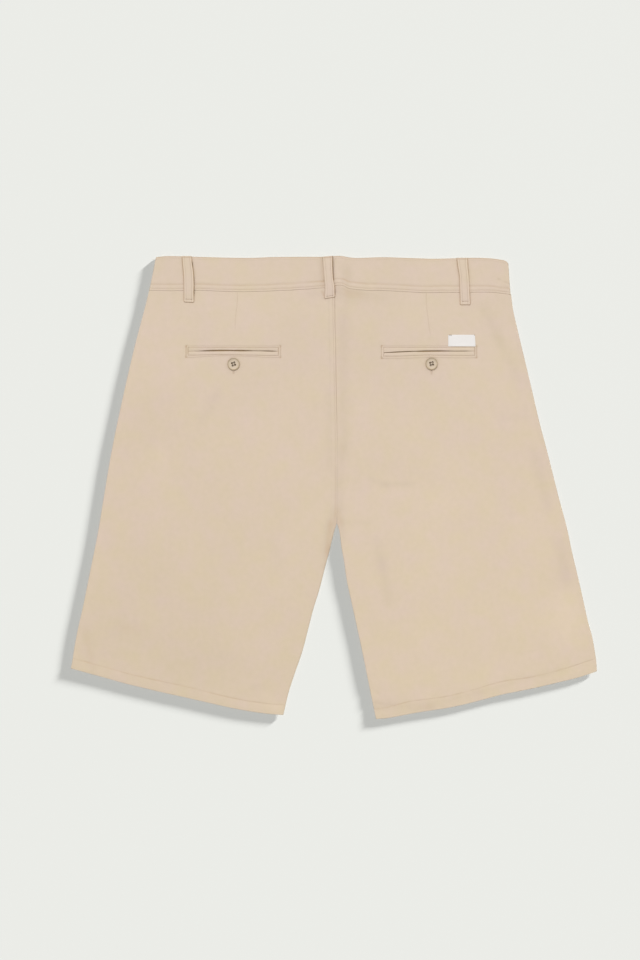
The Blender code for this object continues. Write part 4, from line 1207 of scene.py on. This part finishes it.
def makeLoop(node, row, face):
    path, _, tack, _, edges = row
    length = path[-1][0] - path[0][0]
    half, thick = loop["width"] / 2, loop["cloth"] / 2
    places = spaced(length / 2, 0.12, 2.6, 2.6, 0.3) * length / 2
    ends = np.concatenate([places, length - places[-2::-1]])
    extra = [length - tack + step for step in (-0.9, -0.45, 0.0, 0.45, 0.9)]
    along = np.unique(np.round(np.concatenate([ends, extra]), 3))
    flat = half - thick
    flatTop = np.linspace(-flat, flat, 29)
    arc = np.radians((60, 30, 0, -30, -60))
    across = np.concatenate([flatTop, flat + thick * np.cos(arc), np.linspace(flat, -flat, 5),
                             -flat - thick * np.cos(arc[::-1])])
    rise = np.concatenate([np.ones(29), np.sin(arc), -np.ones(5), np.sin(arc[::-1])])
    onTop = rise > 0.95
    sections, uvs, tones = [], [], []
    for s in along:
        end = min(s, length - s)
        close = math.sqrt(max(1.0 - (1.0 - min(end / thick, 1.0)) ** 2, 0.0))
        r = loop["corner"] if s > length / 2 else 0.6
        corner = r - math.sqrt(max(r * r - (r - min(end, r)) ** 2, 0.0))
        share = across / half * (half - corner) / half
        x, depth, level = loopPlace(row, s, share)
        grooves = -0.22 * swell(across - loop["stitch"], 0.5) - 0.15 * swell(across + loop["stitch"], 0.45)
        fine = np.where(onTop, grooves, 0.0)
        if face == "back":
            rest = loopRest(x, depth)
            waver = np.where(onTop, 0.08 * unevenWave(s + x[0], 7.0, 81), 0.0)
            height = rest * 0.5 + float(np.mean(rest)) * 0.5 + loop["gap"] + thick + level \
                + rise * thick * max(close, 0.05) + (fine + waver) * close
        else:
            height = thick - rise * thick * max(close, 0.05)
        sections.append(joined(x, depth, height))
        uvs.append(joined(across, -s))
        # Painted shadow along the left and the right edge, painted shade at the foot, the top and in the stitching
        # grooves, and a painted highlight inside each edge
        edgeShadow = [float(follow([(at, pair[i]) for at, *pair in edges], path[0][0] + s)) for i in (0, 1)]
        atEdge = smoothstep(half - 1.2, half - 0.55, np.abs(across)) * np.where(across < 0.0, *edgeShadow)
        ridgeHighlight = swell(np.abs(across) - half + 1.9, 0.5) * np.where(across < 0.0, 0.15, 0.35)
        atFoot = 1.0 - smoothstep(0.3, 0.9, length - s)
        atTop = 1.2 * swell(s - 1.5, 0.8)
        tones.append(fine * toneGain + ridgeHighlight - np.maximum(np.maximum(atEdge, 1.3 * atFoot), atTop))
    name = "belt" + "".join(word.capitalize() for word in node.split("_")[1:])
    obj = closedTube(name, sections, uvs, tones)
    if face == "back":
        s = np.linspace(3.0, length - tack - 1.2, 20)
        for side in (-1, 1):
            sewLoop("stitchesLoops", row, s, side * loop["stitch"] / half, -0.08, pitch=2.6, length=2.1, width=0.36)
        share = np.linspace(-0.62, 0.62, 12)
        for step in (-0.3, 0.3):
            sewLoop("stitchesTacks", row, length - tack + step + 0 * share, share, 0.02,
                    pitch=1.15, length=1.25, width=0.42, lean=0.5 * step)
    return finishPiece(obj, finishes["twill"], [node])


loops = [makeLoop(name, row, "back") for name, row in backLoops.items()]
loops += [makeLoop(name, row, "front") for name, row in frontLoops.items()]
print("belt loops:", len(loops))

# Pocket welts: two rolled lips that meet at the slit, with a facing behind them

def makeWelt(side, part):
    # A strip folded in two: out over the lip, round the roll at the slit and back underneath
    pocket = pockets[side]
    upper = part == "upper"
    toward = 1.0 if upper else -1.0          # from the rim to the slit, in depth
    left, right = pocket["x"] - pocket["width"] / 2 + 0.06, pocket["x"] + pocket["width"] / 2 - 0.06
    places = lerp(left, right, spaced(right - left, 0.4, 0.4, 1.3, 0.2))
    roll, cloth = welt["roll"], welt["cloth"]
    arc = np.radians((60, 30, 0, -30, -60))
    shares = np.array((0.0, 0.05, 0.12, 0.22, 0.36, 0.52, 0.68, 0.82, 0.93, 1.0))
    back = np.array((0.8, 0.4, 0.0))
    sections, uvs, tones = [], [], []
    for here in places:
        gap = float(follow(pocket["opening"], here)) / 2
        lipEnd = float(follow(pocket["slit"], here)) - toward * gap
        rim = pocket["depth"] - toward * (pocket["height"] / 2 - 0.06)
        rim = rim + (0.0 if upper else float(footShift(side, here)))
        flat = abs(lipEnd - rim) - roll
        wave = 0.08 * float(unevenWave(here, 9.0, 91 if upper else 92))
        puff = (0.30 + wave) * np.sin(np.pi * np.clip(shares * 0.85 + 0.05, 0.0, 1.0)) ** 0.8 - 0.12
        puff = puff - 0.30 * swell(shares * flat, 0.35)
        level = puff[-1] - roll              # of the roll's middle
        outAcross = np.concatenate([shares * flat, flat + roll * np.cos(arc), back * flat])
        outLift = np.concatenate([puff, level + roll * np.sin(arc), level - roll + 0 * back])
        thin = roll - cloth
        inAcross = np.concatenate([back[::-1] * flat, flat + thin * np.cos(arc[::-1]), shares[::-1] * flat])
        inLift = np.concatenate([level - thin + 0 * back, level + thin * np.sin(arc[::-1]), puff[::-1] - cloth])
        across, lift = np.concatenate([outAcross, inAcross]), np.concatenate([outLift, inLift])
        base = float(topHeight(here, pocket["depth"])) - 0.35 * float(swell(min(here - left, right - here), 0.6))
        sections.append(joined(here, rim + toward * across, base + lift))
        uvs.append(joined(here, runLength(across, lift)))
        # Painted shade: darker where the lip meets the rim and at the roll's edge by the slit, much darker underneath
        # where the slit shows, and the left upper lip a little darker all over
        tone = -0.25 * (upper and side == "left") - 0.6 * swell(across, 0.5)
        tones.append(tone - 0.9 * swell(across - flat - roll, 0.35) - 3.0 * (lift < level - 0.1))
    obj = closedTube(f"pocketWelt{side.capitalize()}{part.capitalize()}", sections, uvs, tones)
    return finishPiece(obj, finishes["twill"], [f"pocket_welt_{side}_{part}"])


def flatSheet(name, x0, x1, depth0, depth1, step, heightAt, cloth, material, nodes, tone=0.0):
    x = np.linspace(x0, x1, int(abs(x1 - x0) / step) + 2)
    depth = np.linspace(depth0, depth1, int(abs(depth1 - depth0) / step) + 2)
    gx, gd = np.meshgrid(x, depth)
    obj = gridObject(name, joined(gx, gd, heightAt(gx, gd)), joined(gx, -gd), np.full_like(gx, tone))[0]
    addWall(obj, cloth)
    return finishPiece(obj, material, nodes)


def makeFacing(side):
    pocket, margin = pockets[side], pocketFrame["facingMargin"]
    across, down = pocket["width"] / 2 + margin, pocket["height"] / 2 + margin
    # The facing is painted dark, as the shade inside the slit
    return flatSheet(f"pocketFacing{side.capitalize()}", pocket["x"] - across, pocket["x"] + across,
                     pocket["depth"] - down, pocket["depth"] + down, 2.5,
                     lambda x, depth: topHeight(x, depth) - pocketFrame["facingDrop"],
                     pocketFrame["facingCloth"], finishes["inside"], [f"pocket_facing_{side}"], -3.0)


welts = {(side, part): makeWelt(side, part) for side in pockets for part in ("upper", "lower")}
facings = {side: makeFacing(side) for side in pockets}
print("pockets:", len(welts), "welts")

# Fly shield inside the fronts
fly = {"left": -22.0, "right": 26.0, "top": 3.0, "foot": 195.0, "cloth": 1.0, "under": 1.1, "gap": 0.3}


def flyHeight(x, depth):
    lift = lie["bandRest"] + lie["bandStep"] + lie["buttonRise"]
    overBand = (band["cloth"] - fly["under"] - lie["bandStep"]) * (
        1.0 - smoothstep(plan["bandWidth"] + 3.0, plan["bandWidth"] + 28.0, depth))
    return lift * nearWaist(depth) + fly["under"] + fly["gap"] + overBand + fly["cloth"]


flyShield = flatSheet("flyShield", fly["left"], fly["right"], fly["top"], fly["foot"], 3.0, flyHeight,
                      fly["cloth"], finishes["inside"], ["fly_shield"])

# Label: a bare woven tape above the right back pocket
label = {"x": 157.8, "depth": 104.05, "width": 34.3, "height": 14.6, "cloth": 0.45, "corner": 1.3, "rest": 0.3,
         "lean": 0.9}


def makeLabel():
    width, height, corner = label["width"], label["height"], label["corner"]
    s = lerp(-width / 2, width / 2, spaced(width, 0.3, 0.3, 0.9, 0.25))
    t = lerp(-height / 2, height / 2, spaced(height, 0.25, 0.25, 0.7, 0.25))
    gs, gt = np.meshgrid(s, t)
    fromTop = np.minimum(gt + height / 2, height / 2 - gt)
    r = np.where(gt < 0, corner, 0.5)
    inset = r - np.sqrt(np.maximum(r * r - (r - np.minimum(fromTop, r)) ** 2, 0.0))
    x = label["x"] + gs * (width / 2 - inset) / (width / 2)
    x = x - label["lean"] * smoothstep(0.0, width / 2, gs) * (0.5 - gt / height)
    depth = label["depth"] + gt
    edge = np.minimum(width / 2 - np.abs(gs), height / 2 - np.abs(gt))
    relief = -0.28 * swell(edge, 0.35) - 0.16 * swell(width / 2 - np.abs(gs) - 1.6, 0.5)
    relief += 0.10 * unevenWave(x, 9.0, 95) + 0.25 * smoothstep(height / 2 - 4.0, height / 2, gt) * swell(gs, 11.0)
    points = joined(x, depth, topHeight(x, depth) + label["rest"] + label["cloth"] + relief)
    # The label's tone paints shade into its edge grooves and a little painted highlight where it bulges
    obj = gridObject("sewnLabel", points, joined(x, -depth), np.clip(relief, -0.4, 0.1))[0]
    addWall(obj, label["cloth"])
    return finishPiece(obj, finishes["label"], ["label"])


sewnLabel = makeLabel()

# Buttons: turned discs with a rounded rim, a sunk face and four holes
waistButton = (0.0, 20.5, 8.0)


def makeButtonShape():
    radius, height = button["radius"] * mm, button["height"] * mm
    bpy.ops.object.select_all(action="DESELECT")
    bpy.ops.mesh.primitive_cylinder_add(vertices=72, radius=radius, depth=height, location=(0.0, 0.0, height / 2))
    disc = bpy.context.object
    bpy.ops.object.transform_apply(location=True, rotation=False, scale=False)
    editFaces(disc, [face.normal.z > 0.5 for face in disc.data.polygons])
    bpy.ops.mesh.inset(thickness=button["rim"] * mm)
    bpy.ops.mesh.inset(thickness=button["step"] * mm)
    bpy.ops.transform.translate(value=(0.0, 0.0, -button["sunk"] * mm))
    leaveEdit()
    rounding = disc.modifiers.new("rounding", "BEVEL")
    rounding.width = button["bevel"] * mm
    rounding.segments = 4
    rounding.limit_method = "ANGLE"
    rounding.angle_limit = math.radians(25)
    applyAll(disc)
    for sx in (-0.5, 0.5):
        for sy in (-0.5, 0.5):
            at = (sx * button["pitch"] * mm, sy * button["pitch"] * mm, height / 2)
            bpy.ops.mesh.primitive_cylinder_add(vertices=20, radius=button["hole"] * mm, depth=8.0 * mm, location=at)
            drill = bpy.context.object
            hole = disc.modifiers.new("hole", "BOOLEAN")
            hole.operation = "DIFFERENCE"
            hole.solver = "EXACT"
            hole.object = drill
            applyAll(disc)
            bpy.data.objects.remove(drill)
    return disc


def placeButton(name, shape, x, depth, height, turn, facesDown, node):
    obj = addObject(name, shape.data.copy())
    obj.data.name = name
    layer = obj.data.uv_layers.active
    layer.name = "disc"
    for corner in obj.data.loops:            # UVs keep each point's place on the disc, in millimetres
        layer.data[corner.index].uv = obj.data.vertices[corner.vertex_index].co.xy * 1000.0
    turned = Matrix.Rotation(math.radians(turn), 4, "Z")
    if facesDown:
        turned = turned @ Matrix.Rotation(math.pi, 4, "X")
    place = toWorld(np.array([x, depth, height]))
    obj.data.transform(Matrix.Translation(place.tolist()) @ turned)
    finishPiece(obj, finishes["resin"], [node])
    smooth(obj, 40)
    return obj


def buttonThreads(x, depth, height, turn):
    # Two pairs of holes, each tied across
    c, s = math.cos(math.radians(turn)), math.sin(math.radians(turn))
    face = height + button["height"] - button["sunk"]
    half = button["pitch"] / 2
    for row in (-half, half):
        ends = [np.array([[x + e * c - row * s, depth - (e * s + row * c), face + 0.08]])
                for e in (0.65 - half, half - 0.65)]
        stitchGrain("stitchesButtons", *ends, button["thread"])


def buttonhole(x, depth, tail):
    # The lower end of the worked buttonhole under the button: satin stitches on both sides and a bar at its foot
    foot = depth + tail
    rows = np.arange(depth - 4.0, foot - 0.4, 0.42)
    for side in (-1, 1):
        narrow = np.clip((foot - rows) / 2.4, 0.45, 1.0)
        inner, outer = x + side * 0.22 + 0 * rows, x + side * (0.3 + 1.15 * narrow)
        height = topHeight(x + 0 * rows, rows) + 0.18
        stitchGrain("stitchesPockets", joined(inner, rows, height), joined(outer, rows, height - 0.12), 0.44)
    bar = np.arange(-0.35, 0.36, 0.35)
    height = topHeight(x + bar, foot + bar) + 0.2
    stitchGrain("stitchesPockets", joined(x - 0.9, foot + bar, height), joined(x + 0.9, foot + bar, height), 0.5)


buttonShape = makeButtonShape()
buttons = {}
for side, (x, depth, turn) in pocketButtons.items():
    rest = float(topHeight(x, depth)) + 0.3
    buttons[side] = placeButton(f"pocketButton{side.capitalize()}", buttonShape, x, depth, rest, turn, False,
                                f"pocket_button_{side}")
    buttonThreads(x, depth, rest, turn)
    buttonhole(x, depth, 11.4 if side == "left" else 12.6)
x, depth, turn = waistButton
buttons["waist"] = placeButton("waistButton", buttonShape, x, depth, button["height"], turn, True, "waist_button")
bpy.data.objects.remove(buttonShape)
print("buttons:", len(buttons))

# Sewing: rows that lie in the grooves of the panels and the waistband
sink = 0.16
topSink = 0.02
farFromHem = 400.0


def sewOnBack(group, side, x, depth, fromHem, **sizes):
    height = topHeight(x, depth) + sum(backRelief(side, x, depth, fromHem)) + sink
    stitchAlong(group, x, depth, height, **sizes)


def sewCenter():
    depth = np.linspace(44.0, 326.0, 200)
    x = follow(centerSeam, depth) - panel["centerStitch"]
    sewOnBack("stitchesCenter", "left", x, depth, farFromHem + 0 * depth)


def sewHems():
    for side, leg in legs.items():
        (d0, x0), (d1, x1) = leg["side"][-1], leg["inseam"][-1]
        slope = abs(x1 - x0) / math.hypot(x1 - x0, d1 - d0)
        u = np.linspace(0.012, 0.988, 160)
        up = follow(leg["hemUp"], lerp(x0, x1, u))
        depth = lerp(d0, d1, u) - up / slope + follow(leg["hemBow"], u)
        x = lerp(sideX(leg, d0 - up), seamX(leg, d1 - up), u)
        sewOnBack("stitchesHems", side, x, depth, up, pitch=3.1)


def sewBand():
    for side, leg in legs.items():
        start = band["start"] + leg["sign"] * 1.2
        end = float(sideX(leg, 38.0)) - leg["sign"] * 3.0
        x = np.linspace(start, end, 260)
        foot, top = bandFoot("back", x), follow(bandTopEdge, x)
        for depth, sunk in ((foot - band["stitch"], sink), (top + band["topStitch"], topSink)):
            height = bandTopHeight(x) + sum(bandRelief(x, depth, foot - depth))
            stitchAlong("stitchesWaistband", x, depth, height + sunk)


def sewPockets():
    for side, pocket in pockets.items():
        across = pocket["width"] / 2 + pocketFrame["beside"]
        above, below = -pocket["height"] / 2 - pocketFrame["above"], pocket["height"] / 2
        corners = [(-across, above), (across, above), (across, below), (-across, below), (-across, above)]
        for (x0, d0), (x1, d1) in zip(corners, corners[1:]):
            t = np.linspace(0.0, 1.0, 80)
            x, down = pocket["x"] + lerp(x0, x1, t), lerp(d0, d1, t)
            bend = footShift(side, x) + follow(pocket["footStitch"], x)
            bend = bend * smoothstep(-pocket["height"] / 2, pocket["height"] / 2, down)
            depth = pocket["depth"] + down + bend
            sewOnBack("stitchesPockets", side, x, depth, farFromHem + 0 * x, pitch=2.6, length=2.15)


def sewLabel():
    # Tacks at each upper corner: two rows, of three stitches at the left corner and one at the right
    width, height = label["width"], label["height"]
    for side, spread in ((-1, 4.2), (1, 1.6)):
        for step in (0.25, 0.75):
            x = label["x"] + side * (width / 2 - 0.6 - np.array([0.0, spread]))
            depth = label["depth"] - height / 2 + step + 0 * x
            level = topHeight(x, depth) + label["rest"] + label["cloth"] + 0.05
            stitchAlong("stitchesLabel", x, depth, level, pitch=1.2, length=1.3, width=0.4)


for sew in (sewCenter, sewHems, sewBand, sewPockets, sewLabel):
    sew()
otherThreads = {"stitchesLabel": "tack", "stitchesTacks": "bartack", "stitchesButtons": "bartack"}
for group in stitchRows:
    sewn = makeStitches(group, finishes[otherThreads.get(group, "thread")])
    print("sewing:", group, len(sewn.data.polygons), "faces")

# Floor, light and camera
studio = {
    "floor": (0.298, 0.3005, 0.287),
    "ambient": 0.2,
    "backdrop": 0.83,
    # Strength, height above the floor and direction in degrees, and apparent size
    "keyLight": (1.38, 60.0, 100.0, 12.0),        # on the garment
    "softLight": (1.32, 90.0, 0.0, 150.0),        # on the garment
    "fillLight": (4.65, 90.0, 0.0, 20.0),         # on the floor only, and through the garment
    "castLight": (23.7, 8.3, 38.7, 5.2),          # on the floor only
}


def makeFloor():
    bpy.ops.object.select_all(action="DESELECT")
    bpy.ops.mesh.primitive_plane_add(size=24.0, location=(0.0, 0.0, -0.0001))
    floor = bpy.context.object
    floor.name = "floor"
    bpy.ops.object.transform_apply(location=True)
    looks = {"Base Color": (*studio["floor"], 1.0), "Roughness": 0.95, "Specular IOR Level": 0.1}
    floor.data.materials.append(startMaterial("paleFloor", looks)[0])
    return floor


def makeSun(name, receivers, blockers=None):
    # The direction is where the light comes from, counted from +X towards +Y
    strength, rise, fromAngle, size = studio[name]
    lamp = bpy.data.lights.new(name, "SUN")
    lamp.energy = strength
    lamp.angle = math.radians(size)
    obj = addObject(name, lamp)
    obj.rotation_euler = (0.0, math.radians(90.0 - rise), math.radians(fromAngle))
    obj.light_linking.receiver_collection = receivers
    obj.light_linking.blocker_collection = blockers


floor = makeFloor()
onFloor = bpy.data.collections.new("floorOnly")
onFloor.objects.link(floor)
offFloor = bpy.data.collections.new("allButFloor")
offFloor.objects.link(floor)
offFloor.collection_objects[0].light_linking.link_state = "EXCLUDE"
upperPieces = bpy.data.collections.new("upperPieces")        # what throws the shadow on the floor
for obj in (*backs.values(), *bands.values(), *loops):
    upperPieces.objects.link(obj)
for name in ("keyLight", "softLight"):
    makeSun(name, offFloor)
makeSun("fillLight", onFloor, onFloor)
makeSun("castLight", onFloor, upperPieces)
world = bpy.data.worlds.new("studio")
world.use_nodes = True
tree = world.node_tree
background = tree.nodes["Background"]
background.inputs["Color"].default_value = (1.0, 1.0, 1.0, 1.0)
seen = tree.nodes.new("ShaderNodeLightPath").outputs["Is Camera Ray"]
seen = compute(tree, "MULTIPLY", seen, studio["backdrop"] - studio["ambient"])
tree.links.new(compute(tree, "ADD", seen, studio["ambient"]), background.inputs["Strength"])
bpy.context.scene.world = world
bpy.context.scene.view_settings.view_transform = "Standard"

view = {"x": -16.83, "y": 8.53, "height": 3000.0, "lies": 5.0, "long": 1198.7, "sensor": 36.0}
lens = bpy.data.cameras.new("overhead")
lens.sensor_width = view["sensor"]
lens.lens = view["sensor"] * view["height"] / view["long"]
lens.clip_end = 100.0
camera = addObject("overhead", lens)
camera.location = (view["x"] * mm, view["y"] * mm, (view["height"] + view["lies"]) * mm)
bpy.context.scene.camera = camera
